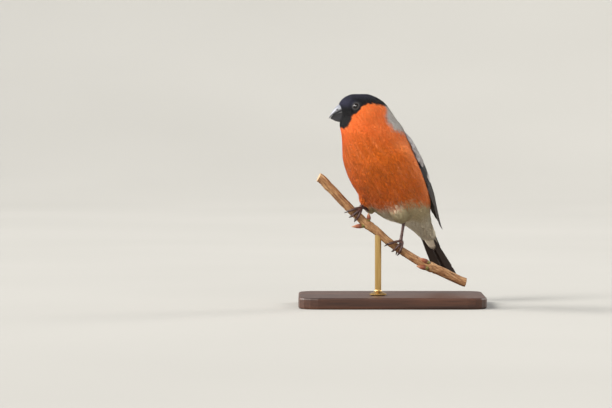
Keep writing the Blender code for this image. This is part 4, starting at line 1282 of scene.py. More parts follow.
class Quills:
    """Gathers long feathers, each a closed thin vane with a raised shaft, into one mesh."""

    def __init__(self, columns=8):
        self.columns = columns
        self.points, self.faces, self.tints = [], [], []
        self.along, self.across, self.uv = [], [], []
        self.count = 0
        self.number = 0

    def add(self, place_of, rows, outline, shaft, thickness, tint_of, slits=2):
        """A feather from a function that gives points and outward ways by share along and across."""
        share = np.linspace(0.0, 1.0, rows) ** 0.9
        keys, sizes = np.array(outline).T
        wide = np.interp(share, keys, sizes)
        across = np.linspace(-1.0, 1.0, self.columns)
        s, t = np.meshgrid(share, across, indexing="ij")
        edge = np.ones_like(s)
        for _ in range(slits):
            row, side = chance.integers(rows // 3, rows - 1), chance.choice((0, -1))
            edge[row, side] = chance.uniform(0.72, 0.9)
        ripple = 1.0 + chance.normal(0.0, 0.012, s.shape) * (np.abs(t) > 0.99)
        spread = t * wide[:, None] * edge * ripple
        points, outs = place_of(s, spread)
        ridge = 0.16 * np.exp(-((t - shaft) / 0.16) ** 2) * (1.0 - 0.7 * s)
        top = points + outs * ridge[..., None]
        low = points - outs * (thickness * (1.0 - 0.5 * s))[..., None]
        size = s.size
        grid = grid_faces(rows, self.columns, closed=False)
        rim = self.rim(rows)
        walls = np.stack((rim, rim + size, np.roll(rim, -1) + size, np.roll(rim, -1)), -1)
        quads = np.concatenate((grid, grid[:, ::-1] + size, walls))
        both = np.concatenate((top.reshape(-1, 3), low.reshape(-1, 3)))
        triangles = facing_out(both - both.mean(0), halves(quads))[1]
        tint = tint_of(s.ravel(), t.ravel())
        on_shaft = np.exp(-((t.ravel() - shaft) / 0.07) ** 2)[:, None]
        tint = tint * (1.0 - 0.35 * on_shaft) + SHAFT_BROWN * 0.35 * on_shaft
        self.points.append(both)
        self.faces.append(triangles + self.count)
        self.tints.append(np.concatenate((tint, mix(tint, UNDER_TAIL, np.full(len(tint), 0.55)))))
        seed = chance.random() * 40.0
        self.along.append(np.tile(s.ravel(), 2) + seed)
        self.across.append(np.tile((t - shaft).ravel(), 2))
        row, column = divmod(self.number, 12)
        u = 0.02 + column / 12.0 + (t.ravel() + 1.0) * 0.035
        patch = np.stack((u, 0.02 + row / 8.0 + s.ravel() * 0.11), -1)
        self.uv.append(np.concatenate((patch, patch)))
        self.count += len(both)
        self.number += 1

    def rim(self, rows):
        """The points round the edge of a feather's grid, in turn."""
        grid = np.arange(rows * self.columns).reshape(rows, self.columns)
        return np.concatenate((grid[0, :-1], grid[:-1, -1], grid[-1, :0:-1], grid[:0:-1, 0]))[::-1]

    def mesh(self, name):
        values = {
            "tint": np.concatenate(self.tints),
            "along": np.concatenate(self.along),
            "across": np.concatenate(self.across),
        }
        return new_mesh(name, np.concatenate(self.points), np.concatenate(self.faces), values,
                        np.concatenate(self.uv))


# Half widths of quills along their length.
QUILL_OUTLINE = (
    (0.0, 0.45), (0.12, 0.72), (0.4, 0.95), (0.7, 1.0), (0.86, 0.9), (0.94, 0.7), (0.985, 0.38), (1.0, 0.12),
)
QUILL_THICKNESS = 0.12
BROAD_OUTLINE = ((0.0, 0.5), (0.15, 0.8), (0.5, 1.0), (0.8, 1.0), (0.92, 0.84), (0.98, 0.5), (1.0, 0.2))


def tipped(base, tip, start, soft=0.06):
    """A tint function of a dark feather with a pale end."""
    shade = chance.normal(1.0, 0.05)
    return lambda s, t: mix(base * shade, tip * shade, ease(s + 0.05 * t * t, start - soft, start + soft))


def edged(base, edge, side):
    """A tint function of a dark feather whose one edge is paler."""
    return lambda s, t: mix(base, edge, ease(t * side, 0.72, 0.98) * ease(s, 0.15, 0.5))


def wing_surface(root, tip, width, lift, side):
    """A place function for a feather that lies on the wing."""
    def place_of(s, t):
        along = root[0] + (tip[0] - root[0]) * s
        angle = root[1] + (tip[1] - root[1]) * s
        here, further = (wing_points(along, angle + degrees, 0.0, 1) for degrees in (0.0, 1.0))
        step = np.linalg.norm(further - here, axis=-1)
        round_it = angle + width / step * t
        height = lift + 0.3 - 0.62 * (t + 1.0) / 2.0
        place = wing_points(along, round_it, height, side)
        out = unit(wing_points(along, round_it, height + 1.0, side) - place)
        return place, out
    return place_of


def tier_tint(tier, number, count):
    """The tint function of a feather in a tier of the wing."""
    if tier == "greater_covert":
        return tipped(WING_BLACK, WING_BAR, start=0.66)
    if tier == "median_covert":
        return tipped(BACK_GREY * 0.75, BACK_GREY, start=0.3, soft=0.2)
    if tier == "tertial" and number == count - 1:
        return lambda s, t: mix(WING_BLACK, TERTIAL_RED, ease(t, 0.3, 0.8) * ease(s, 0.45, 0.65) * 0.8)
    if tier == "primary":
        return edged(WING_BLACK, PRIMARY_EDGE, -1)
    return edged(WING_BLACK, FLIGHT_EDGE, -1)


def wing_core(side):
    """The flesh of the wing under its coverts, as rings of points."""
    rings = []
    shares = np.linspace(0.0, 1.0, CORE_COLUMNS)
    rows = np.linspace(0.0, len(CORE_ALONG) - 1.0, CORE_ROWS)
    table = np.stack((CORE_ALONG, CORE_LOW, CORE_HIGH, CORE_LIFT), -1)
    for along, low, high, lift in smooth(table, rows):
        angle = low + (high - low) * shares
        crown = np.sin(math.pi * (0.12 + 0.76 * shares))
        here = np.full(CORE_COLUMNS, along)
        top = wing_points(here, angle, lift * crown, side)
        under = wing_points(here, angle, -CORE_DEPTH, side)
        rings.append(np.concatenate((top, under[::-1])))
    return capped(np.array(rings))


def build_wing(name, side, gloss, soft):
    """A folded wing: quills and their coverts, then the small grey coverts and the scapulars."""
    quills = Quills()
    for tier, (count, root_a, tip_a, width_a, root_b, tip_b, width_b, lift) in WING_TIERS.items():
        for number in range(count):
            share = number / (count - 1)
            root = [a + (b - a) * share for a, b in zip(root_a, root_b)]
            tip = [a + (b - a) * share for a, b in zip(tip_a, tip_b)]
            width = width_a + (width_b - width_a) * share
            tip[0] += chance.normal(0.0, 0.35)
            outline = QUILL_OUTLINE if tier in ("primary", "primary_covert") else BROAD_OUTLINE
            rows = 26 if tier in ("primary", "secondary", "tertial") else 14
            shaft = -0.42 if tier == "primary" else -0.2
            surface = wing_surface(root, tip, width, lift + 0.02 * number, side)
            quills.add(surface, rows, outline, shaft, QUILL_THICKNESS, tier_tint(tier, number, count))
    new_piece(f"{name}_quills", quills.mesh(f"{name}_quills"), gloss, (name,))
    points, faces = wing_core(side)
    greyed = ease(body_coordinates(points)[0], 7.0, 10.0)
    core = new_mesh(f"{name}_core", points, faces, {"tint": mix(WING_BLACK * 1.3, BACK_GREY * 0.8, greyed)})
    new_piece(f"{name}_core", core, skin_material())
    small_coverts(name, side, soft)


# Small coverts and scapulars: rows towards the bend of the wing, as distance along the axis, lowest and
# highest angle, length, and how many in the row.
COVERT_ROWS = (
    (10.5, 107.0, 152.0, 6.0, 25), (12.5, 105.0, 156.0, 6.5, 27), (14.7, 105.0, 160.0, 6.5, 28),
    (17.0, 106.0, 163.0, 6.0, 28), (19.2, 107.0, 165.0, 5.5, 28), (21.2, 109.0, 164.0, 5.0, 28),
    (23.0, 111.0, 162.0, 4.5, 27), (24.6, 113.0, 160.0, 4.2, 26),
)
SCAPULAR_ROWS = (
    (2.0, 155.0, 170.0, 8.5, 13), (6.0, 152.0, 171.0, 8.5, 15), (10.0, 150.0, 172.0, 8.0, 16),
    (14.0, 150.0, 172.0, 7.5, 16), (18.0, 150.0, 172.0, 7.0, 16), (21.5, 150.0, 172.0, 6.5, 16),
)
# How far the small coverts and the scapulars stand off the wing, and where that starts and is full.
COVERT_LIFT = 1.6
SCAPULAR_LIFT = 1.8
LIFT_ALONG = (28.0, 20.5)


def small_coverts(name, side, material):
    """Grey coverts and scapulars as frayed vanes in rows over the wing's surface."""
    roots, lengths, lifts = [], [], []
    for rows, base in ((COVERT_ROWS, COVERT_LIFT), (SCAPULAR_ROWS, SCAPULAR_LIFT)):
        for along, low, high, length, count in rows:
            for share in np.linspace(0.0, 1.0, count):
                place = along + chance.normal(0.0, 0.8)
                roots.append((place, low + (high - low) * share + chance.normal(0.0, 1.0)))
                lengths.append(length * chance.uniform(0.88, 1.12))
                lifts.append(base * ease(along, *LIFT_ALONG))
    roots, lengths, lifts = np.array(roots), np.array(lengths), np.array(lifts)
    shares = BODY_VANE.shares
    along = roots[:, :1] - lengths[:, None] * shares[None]
    angle = roots[:, 1:] + (shares[None] * chance.normal(1.5, 2.0, (len(roots), 1)))
    lines = wing_points(along, angle, np.zeros_like(along), side)
    outs = unit(wing_points(along, angle, np.ones_like(along), side) - lines)
    rise = -0.45 + 0.6 * shares[None] ** 0.8 + lifts[:, None]
    points = feathers(BODY_VANE, lines, outs, lengths * 0.26, rise, thickness=0.06, cup=0.1, fray=0.24)
    grey = mix(BACK_GREY, NAPE_GREY, 0.1 + chance.random(len(roots)) * 0.35)
    darker = chance.random(len(roots)) < 0.25
    grey[darker] = grey[darker] * 0.92
    uv = np.stack((0.5 + side * (roots[:, 1] / 360.0) * 0.98, 0.02 + 0.96 * (roots[:, 0] + 57.0) / 140.0), -1)
    add_coat(f"{name}_coverts", material, BODY_VANE, points, grey, uv)


def tail_surface(pair, side):
    """A place function for a tail feather. The middle pair lies on top, the right one over the left."""
    root, tip = (side * (first + pair * further) for first, further in (TAIL_ROOT_SPREAD, TAIL_TIP_SPREAD))
    height = TAIL_SHIFT + TAIL_LIFT - pair * TAIL_STEP - (TAIL_SIDE_STEP if side > 0 else 0.0)
    length = TAIL_LENGTH + TAIL_FORK * (pair / (TAIL_PAIRS - 1)) ** 1.5

    def place_of(s, t):
        across = root + (tip - root) * s + t * TAIL_HALF_WIDTH
        arch = TAIL_ARCH * np.abs(across) ** 1.4
        up = height - arch - TAIL_TILT * t * side
        place = on_body(TAIL_ROOT + 1.0 - (length + 1.0) * s, up, across)
        return place, np.broadcast_to(-BODY_FRONT, place.shape)
    return place_of


def tail_tint(pair):
    outer = pair / (TAIL_PAIRS - 1)
    return lambda s, t: mix(WING_BLACK, UNDER_TAIL, 0.25 * outer * ease(s, 0.1, 0.9))


TAIL_OUTLINE = ((0.0, 0.6), (0.3, 0.84), (0.65, 1.0), (0.88, 0.95), (0.95, 0.78), (0.985, 0.55), (1.0, 0.3))
# Tail coverts: along the axis, half spread, length, how many, stand off the tail (above is positive),
# and colour.
TAIL_COVERT_ROWS = (
    (-58.0, 4.6, 11.0, 7, 1.9, WING_BLACK),
    (-56.5, 5.0, 10.5, 8, 2.0, WING_BLACK),
    (-55.0, 5.2, 10.0, 9, 2.2, WING_BLACK),
    (-53.5, 5.4, 9.5, 9, 2.4, WING_BLACK),
    (-57.0, 4.2, 9.0, 7, -2.0, DOWN_WHITE),
    (-55.0, 4.6, 8.5, 7, -2.4, DOWN_WHITE),
    (-53.0, 5.0, 7.5, 8, -2.8, DOWN_WHITE),
)
TAIL_SURFACE = 1.5
TAIL_ROWS = 24
TAIL_THICKNESS = 0.13
TAIL_ROUNDING = 0.06


def tail_coverts(name, rows, material):
    """Coverts that run from the rump over the root of the tail, above it or below it."""
    roots = []
    for along, spread, length, count, stand, colour in rows:
        for share in np.linspace(-1.0, 1.0, count):
            reach = length * (1.0 - 0.3 * share * share) * chance.uniform(0.92, 1.08)
            roots.append((along + chance.normal(0.0, 0.3), spread * share, reach, stand, *colour))
    roots = np.array(roots)
    shares = BODY_VANE.shares[None]
    along, across, reach, stand = (roots[:, k:k + 1] for k in range(4))
    off = np.abs(stand) + (TAIL_SURFACE - np.abs(stand)) * shares
    height = TAIL_SHIFT + np.sign(stand) * (off - TAIL_ROUNDING * across**2)
    lines = on_body(along - reach * shares, height, across * (1.0 - 0.12 * shares))
    outs = unit(-BODY_FRONT * np.sign(stand)[..., None] + BODY_LEFT * (across * 0.1)[..., None])
    outs = np.broadcast_to(outs, lines.shape)
    rise = np.zeros_like(height)
    points = feathers(BODY_VANE, lines, outs, reach[:, 0] * 0.2, rise, thickness=0.08, cup=0.1, fray=0.08)
    uv = np.stack((0.5 + across[:, 0] * 0.01, 0.005 + (along[:, 0] + 60.0) * 0.001), -1)
    add_coat(name, material, BODY_VANE, points, roots[:, 4:], uv)


def build_tail(gloss, soft):
    """The tail's quills and the coverts over and under their roots."""
    quills = Quills()
    for pair in range(TAIL_PAIRS):
        for side in (1, -1):
            surface = tail_surface(pair, side)
            quills.add(surface, TAIL_ROWS, TAIL_OUTLINE, -0.3 * side, TAIL_THICKNESS, tail_tint(pair))
    new_piece("tail_quills", quills.mesh("tail_quills"), gloss, ("tail",))
    tail_coverts("tail_coverts_above", TAIL_COVERT_ROWS[:4], gloss)
    tail_coverts("tail_coverts_below", TAIL_COVERT_ROWS[4:], soft)


# Bill and eyes.

def jaw(name, sections, material, node, tuck=0.0, sides=40, rows=44):
    """One half of the bill, finer than its solid. The lower half tucks in under the upper one."""
    table = np.array(sections) + np.array((0.0, tuck, 0.0, -tuck * 0.5))
    places = np.linspace(0.0, len(table) - 1.0, rows)
    a = np.linspace(0.0, math.pi, sides)
    rings, tint = [], []
    for along, edge, ridge, width in smooth(table, places):
        rise = np.sin(a) ** 0.85
        rise[0] = rise[-1] = 0.0
        over = edge + (ridge - edge) * rise
        side = width * np.cos(a) * (1.0 + 0.02 * np.sin(a * 2.0) ** 2)
        rings.append(bill_points(np.full(sides, along), over, side))
        tint.append(rise)
    points, faces = capped(np.array(rings))
    # The rise towards the ridge, kept as lift, sets where the bill's painted highlight lies; it drops at the
    # nostril.
    lift = np.concatenate((np.concatenate(tint), (0.5, 0.5)))
    along, over, side = bill_coordinates(points)
    spot = (along - NOSTRIL[0]) ** 2 + (over - NOSTRIL[1]) ** 2
    nostril = np.exp(-spot / NOSTRIL_RADIUS**2) * (np.abs(side) > 2.0)
    points = points - BILL_SIDE * (np.sign(side) * nostril * 0.35)[:, None]
    mesh = new_mesh(name, points, faces, {"lift": lift - nostril * 1.5, "reach": along / BILL_LENGTH})
    return new_piece(name, mesh, material, (node,))


def bill_material(name, pale, dark):
    make = Nodes(name)
    lift, reach = make.attribute("lift"), make.attribute("reach")
    grain = make.times(make.spots(500.0, 4.0, (1.0, 1.0, 3.0)), 0.35)
    # Painted highlight: pale grey along the ridge, fading to the horn's own dark towards the cutting edges,
    # the tip and the nostril.
    share = make.plus(make.times(lift, 0.9), make.times(grain, 0.6))
    share = make.math("SUBTRACT", share, make.times(make.math("POWER", reach, 3.0), 0.35))
    colour = make.ramp(share, (0.25, *dark), (0.75, *pale), (1.0, *pale))
    return make.surface(Base_Color=colour, Roughness=0.42, Specular_IOR_Level=0.5, Coat_Weight=0.12,
                        Coat_Roughness=0.3, Normal=make.bump(make.spots(1200.0, 3.0), 0.15, 0.04))


def build_bill():
    # Each half: the pale grey of its painted highlight, then the horn's own dark.
    upper = bill_material("bill_upper_horn", (128, 131, 140), (28, 27, 32))
    lower = bill_material("bill_lower_horn", (52, 52, 58), (24, 23, 27))
    jaw("bill_upper_fine", UPPER_BILL, upper, "bill_upper")
    jaw("bill_lower_fine", LOWER_BILL, lower, "bill_lower", JAW_TUCK)


def ball_rings(centre, axis, radius, rows, sides, bulge=0.0):
    """Rings of a ball about an axis, with a slight bulge at its front."""
    side = unit(np.cross(axis, (0.1, 0.2, 1.0)))
    over = np.cross(axis, side)
    down = np.linspace(0.02, math.pi - 0.02, rows)
    ring = circle(turns_of(sides), side, over)
    rings = []
    for angle in down:
        size = radius * (1.0 + bulge * math.exp(-((angle / 0.6) ** 2)))
        rings.append(centre + axis * math.cos(angle) * size + ring * math.sin(angle) * size)
    return np.array(rings)


def eye_material():
    make = Nodes("eye_wet")
    front = make.attribute("front")
    iris = make.plus(front, make.times(make.spots(3500.0, 2.0), 0.03))
    colour = make.ramp(iris, (0.0, 38, 22, 14), (0.8, 46, 27, 16), (0.93, 8, 6, 6))
    return make.surface(Base_Color=colour, Roughness=0.03, Specular_IOR_Level=0.35)


def lid_material():
    make = Nodes("eye_lid")
    colour = make.ramp(make.spots(3000.0), (0.3, 16, 15, 18), (0.7, 34, 33, 36))
    return make.surface(Base_Color=colour, Roughness=0.5, Normal=make.bump(make.spots(5000.0), 0.5, 0.05))


def lid_mesh(name, centre, out):
    """A wrinkled ring of bare skin round an eye."""
    turns = turns_of(LID_ROWS)
    across = unit(np.cross(out, (0.0, 0.0, 1.0)))
    over = np.cross(across, out)
    line = centre + out * LID_FORWARD + (np.cos(turns)[:, None] * across * LID_HALF_WIDTH
                                         + np.sin(turns)[:, None] * over * LID_HALF_HEIGHT)
    rings = []
    for place, turn in zip(line, turns):
        outward = unit(place - centre - out * LID_FORWARD)
        thick = LID_RADIUS * (1.0 + LID_WRINKLE * math.sin(turn * LID_WRINKLES))
        rings.append(place + circle(turns_of(LID_SIDES), outward, out) * thick)
    ids = np.arange(LID_ROWS * LID_SIDES).reshape(LID_ROWS, LID_SIDES)
    closing = np.stack((ids[-1], np.roll(ids[-1], -1), np.roll(ids[0], -1), ids[0]), -1)
    triangles = halves(np.concatenate((grid_faces(LID_ROWS, LID_SIDES), closing)))
    return new_mesh(name, *facing_out(np.array(rings).reshape(-1, 3), triangles))


def build_eyes():
    """The wet eyeballs and their lids."""
    wet, lid = eye_material(), lid_material()
    for name, side in (("left", 1), ("right", -1)):
        centre, out = EYES[side]
        points, faces = capped(ball_rings(centre, out, EYE_RADIUS, rows=40, sides=48, bulge=0.03))
        ball = new_mesh(f"eye_{name}_wet", points, faces, {"front": unit(points - centre) @ out})
        new_piece(f"eye_{name}_wet", ball, wet, (f"eye_{name}",))
        new_piece(f"eye_{name}_lid", lid_mesh(f"eye_{name}_lid", centre, out), lid)


# Legs.

def leg_material():
    make = Nodes("leg_scales")
    place = make.add("ShaderNodeTexCoord").outputs["Object"]
    cells = make.add("ShaderNodeTexVoronoi", {"feature": "DISTANCE_TO_EDGE"}, Vector=place, Scale=1500.0)
    colour = make.ramp(make.spots(600.0, 4.0), (0.3, 50, 29, 25), (0.55, 84, 53, 46), (0.8, 120, 92, 82))
    edge = make.ramp(cells.outputs["Distance"], (0.0, 90, 80, 80), (0.12, 255, 255, 255))
    colour = make.blend(colour, edge, 0.7, "MULTIPLY")
    return make.surface(Base_Color=colour, Roughness=0.5,
                        Normal=make.bump(cells.outputs["Distance"], 0.5, 0.12))


def claw_material():
    make = Nodes("claw_dark_horn")
    colour = make.ramp(make.spots(800.0, 3.0), (0.3, 34, 26, 24), (0.75, 78, 62, 56))
    return make.surface(Base_Color=colour, Roughness=0.3, Coat_Weight=0.3, Coat_Roughness=0.2,
                        Normal=make.bump(make.spots(900.0, 2.0, (1.0, 1.0, 4.0)), 0.2, 0.03))


def toe_line(x, toe):
    """The middle line of a toe round the twig."""
    drift, start, end = toe
    share = np.linspace(0.0, 1.0, TOE_ROWS)
    rise = TOE_RISE + TOE_ARCH * np.sin(math.pi * share) + KNUCKLE_RISE * (1.0 - share) ** 3
    return round_twig(x + drift * share**0.7, start + (end - start) * share, rise)


def claw_line(x, toe):
    """The middle line of a claw, on from its toe."""
    drift, start, end = toe
    share = np.linspace(0.0, 1.0, CLAW_ROWS)
    angle = end + math.copysign(1.0, end - start) * (CLAW_SWEEP + CLAW_START) * share
    rise = TOE_RISE - CLAW_SINK * share + CLAW_HOOK * share**2
    return round_twig(x + drift * (1.0 + 0.1 * share), angle, rise)


def scutes(count, rows):
    """Swellings along a toe or shank, one for each scale across its front."""
    phase = np.linspace(0.0, count, rows) % 1.0
    return 1.0 + 0.07 * np.minimum(phase / 0.75, (1.0 - phase) / 0.25)


def on_twig(x, angle, distance):
    """One point beside the twig."""
    return round_twig(np.array((x,)), np.array((angle,)), np.array((distance,)))[0]


def build_legs():
    """Scaly shanks and toes as one skin for each foot, and the claws."""
    scales, horn = leg_material(), claw_material()
    for leg, (x, ankle) in FEET.items():
        foot_lean, ankle_lean = SHANK_LEAN[leg]
        foot_top = on_twig(x, FOOT_ANGLE, FOOT_RISE) + (foot_lean, 0.0, 0.6)
        ankle = ankle + (ankle_lean, 0.0, 0.0)
        up = unit(ankle - foot_top)
        share = np.linspace(0.0, 1.0, SHANK_ROWS)
        shank = (foot_top - up * 0.6) + (ankle + up * 1.2 - foot_top + up * 0.6) * share[:, None]
        radii = read_table(SHANK_RADII, share)
        length = np.linalg.norm(shank[-1] - shank[0])
        scaly = radii * scutes(length / SCALE_LENGTH, SHANK_ROWS)
        solids = [capped(tube_rings(shank, scaly, SHANK_SIDES)),
                  capped(ball_rings(shank[0] + up * 0.25, up, radii[0], rows=16, sides=24))]
        for number, toe in TOES[leg].items():
            swell = np.interp(np.linspace(0.0, 1.0, TOE_ROWS), np.linspace(0.0, 1.0, len(TOE_SWELLS)),
                              TOE_RADIUS * np.array(TOE_SWELLS))
            swell = swell * scutes(TOE_SCALES, TOE_ROWS)
            solids.append(capped(tube_rings(toe_line(x, toe), swell, TOE_SIDES)))
            size = CLAW_RADIUS * (1.0 - np.linspace(0.0, 1.0, CLAW_ROWS)) ** 0.75 + CLAW_TIP
            name = f"claw_{leg}_{number}"
            mesh = new_mesh(name + "_horn", *capped(tube_rings(claw_line(x, toe), size, CLAW_SIDES)))
            new_piece(name + "_horn", mesh, horn, (name,))
        pad = on_twig(x, 0.0, PAD_RISE)
        solids.append(capped(ball_rings(pad, up, PAD_RADIUS, rows=16, sides=24)))
        mesh = remeshed(new_mesh(f"foot_{leg}_scaly", *merged(solids)), FOOT_VOXEL, FOOT_SMOOTHING)
        new_piece(f"foot_{leg}_scaly", mesh, scales, (f"foot_{leg}", f"tarsus_{leg}"))


# Twig.

def bark_material():
    make = Nodes("bark_tan")
    run = make.attribute("bark", "Color")
    noise = make.add("ShaderNodeTexNoise", None, Vector=run, Scale=1.0, Detail=8.0, Roughness=0.62)
    furrows = noise.outputs["Fac"]
    blotches = make.spots(140.0, 3.0)
    fine = make.spots(1300.0, 5.0)
    colour = make.ramp(furrows, (0.34, 92, 60, 38), (0.44, 156, 113, 72), (0.6, 190, 148, 102),
                       (0.72, 208, 176, 136))
    blotched = make.ramp(blotches, (0.35, 190, 160, 140), (0.6, 255, 255, 255))
    colour = make.blend(colour, blotched, 0.6, "MULTIPLY")
    grained = make.ramp(fine, (0.35, 170, 150, 135), (0.6, 255, 255, 255))
    colour = make.blend(colour, grained, 0.4, "MULTIPLY")
    wave = make.math("SINE", make.times(make.attribute("radius"), 14.0))
    wood = make.ramp(wave, (0.2, 176, 150, 114), (0.9, 196, 172, 136))
    colour = make.blend(colour, wood, make.attribute("cut"))
    return make.surface(Base_Color=colour, Roughness=0.78, Normal=make.bump(furrows, 0.7, 0.25))


def bud_material():
    make = Nodes("bud_scales")
    share = make.attribute("share")
    colour = make.ramp(make.plus(share, make.times(make.spots(700.0), 0.2)),
                       (0.12, 78, 54, 38), (0.26, 128, 124, 58), (0.42, 104, 52, 34),
                       (0.75, 146, 82, 52), (1.0, 186, 136, 100))
    return make.surface(Base_Color=colour, Roughness=0.55, Coat_Weight=0.05, Coat_Roughness=0.3,
                        Normal=make.bump(make.spots(1500.0), 0.3, 0.06))


def build_twig():
    """The twig with its bark and its cut ends, and the buds on it."""
    x = np.linspace(TWIG_LINE[0][0], TWIG_LINE[-1][0], TWIG_ROWS)
    line, radii = twig_points(x)
    turns = turns_of(TWIG_SIDES)
    furrow = noise_field(10, 2.4, 11)
    rough = noise_field(18, 0.9, 12)

    def on_bark(run):
        ring = np.cos(turns)[None] * 3.0, np.sin(turns)[None] * 3.0
        return np.stack(np.broadcast_arrays(x[:, None] * run, *ring), -1)

    relief = FURROW_HEIGHT * furrow(on_bark(FURROW_RUN)) + ROUGHNESS_HEIGHT * rough(on_bark(1.0))
    for place in TWIG_NODES:
        relief += NODE_HEIGHT * np.exp(-(((x - place) / NODE_WIDTH) ** 2))[:, None]
    rings = tube_rings(line, np.ones(TWIG_ROWS), TWIG_SIDES) - line[:, None]
    body = line[:, None] + rings * (radii[:, None] + relief - BARK_INSET)[..., None]
    inward = (1.0 - np.array(END_SIZES))[:, None, None]
    start, end = (body[row][None] + (line[row] - body[row])[None] * inward for row in (0, -1))
    full = np.concatenate((start[::-1], body, end))
    points, faces = capped(full)
    at_end = TWIG_SIDES * len(END_SIZES)
    cut = np.zeros(len(points))
    cut[:at_end] = 1.0
    cut[-at_end - 2:] = 1.0
    near = np.minimum(*(np.linalg.norm(points - line[row], axis=1) for row in (0, -1)))
    around = np.append(np.tile(turns, len(full)), (0.0, 0.0))
    bark = np.stack((points[:, 0] * FURROW_RUN, np.cos(around) * 3.2, np.sin(around) * 3.2), -1)
    mesh = new_mesh("twig_bark_fine", points, faces, {"cut": cut, "radius": near, "bark": bark})
    new_piece("twig_bark_fine", mesh, bark_material(), ("perch_twig",))
    solids, shares = [], []
    for bud in BUDS:
        build_bud(*bud, solids, shares)
    mesh = new_mesh("twig_buds", *merged(solids), {"share": np.concatenate(shares)})
    new_piece("twig_buds", mesh, bud_material())


def build_bud(foot, tip, foot_depth, tip_depth, radius, solids, shares):
    """A bud as overlapping pointed scales round a core."""
    depth = TWIG_DEPTH + TWIG_DEPTH_SLOPE * foot[0]
    a = np.array((foot[0], depth + foot_depth, foot[1]))
    b = np.array((tip[0], depth + tip_depth, tip[1]))
    way = unit(b - a)
    side = unit(np.cross(way, (0.2, 1.0, 0.1)))
    over = np.cross(way, side)
    length = np.linalg.norm(b - a)
    share = np.linspace(0.0, 1.0, 24)
    core = tube_rings(a + (b - a) * share[:, None], radius * BUD_CORE * read_table(BUD_PROFILE, share), 16)
    solids.append(capped(core))
    shares.append(np.concatenate((np.repeat(share, 16), (0.0, 1.0))))
    s = np.linspace(0.0, 1.0, 10)
    t = np.linspace(-1.0, 1.0, 7)
    wide = (0.95 * np.sqrt(np.maximum(1.0 - s**2.2, 0.0)) + 0.03)[:, None]
    for number in range(BUD_SCALES):
        start = BUD_START + BUD_STEP * number
        along = start + BUD_REACH * s
        swell = radius * read_table(BUD_PROFILE, along)[:, None]
        angle = number * BUD_TURN + t[None] * wide
        outward = np.cos(angle)[..., None] * side + np.sin(angle)[..., None] * over
        middle = a + way * (length * along)[:, None, None]
        grid = []
        for lift in (0.13, -0.08):
            size = swell + lift * (1.0 - 0.5 * s[:, None]) - 0.1 * t[None] ** 2
            grid.append(middle + outward * size[..., None])
        solids.append(capped(np.concatenate((grid[0], grid[1][:, ::-1]), 1)))
        shares.append(np.concatenate((np.repeat(along, 14), (start, start + BUD_REACH))))


# Stand.

def wood_material():
    make = Nodes("base_dark_wood")
    grain = make.spots(14.0, 8.0, (0.6, 9.0, 9.0))
    fine = make.spots(120.0, 5.0, (0.5, 12.0, 12.0))
    colour = make.ramp(grain, (0.3, 44, 26, 18), (0.55, 78, 46, 30), (0.75, 98, 60, 38))
    fine_shade = make.ramp(fine, (0.3, 150, 140, 130), (0.6, 255, 255, 255))
    colour = make.blend(colour, fine_shade, 0.5, "MULTIPLY")
    return make.surface(Base_Color=colour, Roughness=0.5, Specular_IOR_Level=0.35,
                        Coat_Weight=0.1, Coat_Roughness=0.4, Normal=make.bump(fine, 0.12, 0.08))


def brass_material():
    make = Nodes("rod_satin_brass")
    brushed = make.spots(900.0, 4.0, (1.0, 1.0, 0.04))
    colour = make.ramp(brushed, (0.3, 176, 140, 84), (0.7, 206, 172, 112))
    rough = make.plus(make.times(brushed, 0.15), 0.24)
    return make.surface(Base_Color=colour, Metallic=1.0, Roughness=rough,
                        Normal=make.bump(brushed, 0.08, 0.03))


def build_stand():
    """The base keeps its solid, and the rod has a turned foot and goes up into the twig."""
    base = frame["nodes"]["stand_base"].data
    base.materials.clear()
    base.materials.append(wood_material())
    centre, radius = twig_points(np.array((ROD_X,)))
    top = centre[0, 2] - radius[0] * ROD_SINK
    foot_heights, foot_radii = np.array(ROD_FOOT).T
    upper = np.linspace(BASE_HEIGHT + ROD_START, top, ROD_ROWS)
    heights = np.concatenate((BASE_HEIGHT + FOOT_GAP + foot_heights, upper))
    radii = np.concatenate((foot_radii, np.full(ROD_ROWS, ROD_RADIUS)))
    line = np.array([(ROD_X, centre[0, 1], height) for height in heights])
    turns = turns_of(ROD_SIDES)
    ring = np.stack((np.cos(turns), np.sin(turns), np.zeros(ROD_SIDES)), -1)
    mesh = new_mesh("stand_rod_turned", *capped(line[:, None] + ring[None] * radii[:, None, None]))
    mesh.set_sharp_from_angle(angle=math.radians(ROD_SHARPNESS))
    new_piece("stand_rod_turned", mesh, brass_material(), ("stand_rod",))


# Floor, light and camera.

def build_stage():
    """A pale round floor that curves up into a backdrop on every side."""
    turns = turns_of(FLOOR_SIDES)
    bend = np.linspace(0.0, BEND_END, BEND_RINGS)
    flat_radii = np.linspace(FLOOR_RADIUS / FLAT_RINGS, FLOOR_RADIUS, FLAT_RINGS, endpoint=False)
    radii = np.concatenate((flat_radii, FLOOR_RADIUS + BEND_RADIUS * np.sin(bend)))
    heights = np.concatenate((np.zeros(FLAT_RINGS), BEND_RADIUS * (1.0 - np.cos(bend))))
    ring = np.stack((np.cos(turns), np.sin(turns)), -1)
    flat = ring[None] * radii[:, None, None] + np.array((0.0, FLOOR_SHIFT))
    tall = np.broadcast_to(heights[:, None, None], (len(radii), FLOOR_SIDES, 1))
    points = np.concatenate((flat, tall), -1).reshape(-1, 3)
    edge = np.arange(FLOOR_SIDES)
    middle = np.stack((np.roll(edge, -1), edge, np.full(FLOOR_SIDES, len(points))), -1)
    faces = np.concatenate((halves(grid_faces(len(radii), FLOOR_SIDES)), middle))[:, ::-1]
    mesh = new_mesh("floor", np.concatenate((points, ((0.0, FLOOR_SHIFT, 0.0),))), faces)
    floor = linked("floor", mesh)
    make = Nodes("floor_pale")
    shade = make.ramp(make.spots(2.0, 2.0), (0.3, 166, 164, 158), (0.7, 171, 169, 163))
    mesh.materials.append(make.surface(Base_Color=shade, Roughness=0.9))


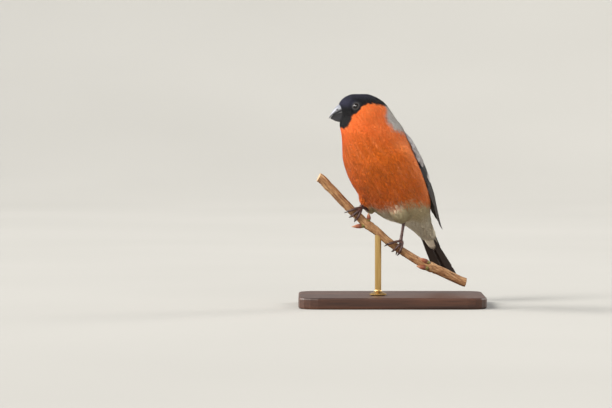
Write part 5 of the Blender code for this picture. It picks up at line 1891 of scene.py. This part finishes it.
# Lights: the way each one lies from the model, its strength, how wide it is in degrees, and its colour.
LIGHTS = {
    "key": ((-0.8, -0.85, 0.75), 3.3, 18.0, (1.0, 0.98, 0.94)),
    "fill": ((0.55, -1.0, 0.1), 1.2, 60.0, (0.96, 0.97, 1.0)),
    "rim": ((0.8, 0.6, 0.45), 1.3, 24.0, (1.0, 0.97, 0.93)),
    "back": ((-1.0, 0.3, 0.55), 3.8, 30.0, (1.0, 0.97, 0.93)),
}
LIGHT_DISTANCE = 1.5
ROOM_COLOUR = (0.93, 0.95, 1.0, 1.0)
ROOM_STRENGTH = 0.55


def build_lights():
    """Four soft lamps and an even light from all round."""
    for name, (place, strength, width, colour) in LIGHTS.items():
        light = bpy.data.lights.new(name, "SUN")
        light.energy = strength
        light.angle = math.radians(width)
        light.color = colour
        lamp = linked(name, light)
        lamp.location = Vector(place) * LIGHT_DISTANCE
        lamp.rotation_euler = Vector(place).to_track_quat("Z", "Y").to_euler()
    world = bpy.data.worlds.new("soft_room")
    world.use_nodes = True
    background = world.node_tree.nodes["Background"]
    background.inputs["Color"].default_value = ROOM_COLOUR
    background.inputs["Strength"].default_value = ROOM_STRENGTH
    bpy.context.scene.world = world
    bpy.context.scene.view_settings.view_transform = "Standard"


def build_camera():
    """A long lens at the photograph's angle."""
    data = bpy.data.cameras.new("camera")
    data.sensor_width = SENSOR
    data.lens = SENSOR * VIEW_DISTANCE / VIEW_WIDTH
    data.clip_end = 20.0
    camera = linked("camera", data)
    rise = math.radians(VIEW_RISE)
    away = Vector((0.0, -math.cos(rise), math.sin(rise)))
    camera.location = (Vector(VIEW_CENTRE) + away * VIEW_DISTANCE) * MM
    camera.rotation_euler = (-away).to_track_quat("-Z", "Y").to_euler()
    bpy.context.scene.camera = camera


def main():
    build_camera()
    build_stage()
    build_lights()
    form = Form()
    build_skin(form)
    soft = build_coat(form)
    build_barbs(form, soft)
    gloss = feather_material("plumage_gloss", roughness=0.5, sheen=0.0, barbs=70.0, streak=0.4, coat=0.04,
                             specular=0.14)
    build_wing("wing_left", 1, gloss, soft)
    build_wing("wing_right", -1, gloss, soft)
    build_tail(gloss, soft)
    build_bill()
    build_eyes()
    build_legs()
    build_twig()
    build_stand()


main()
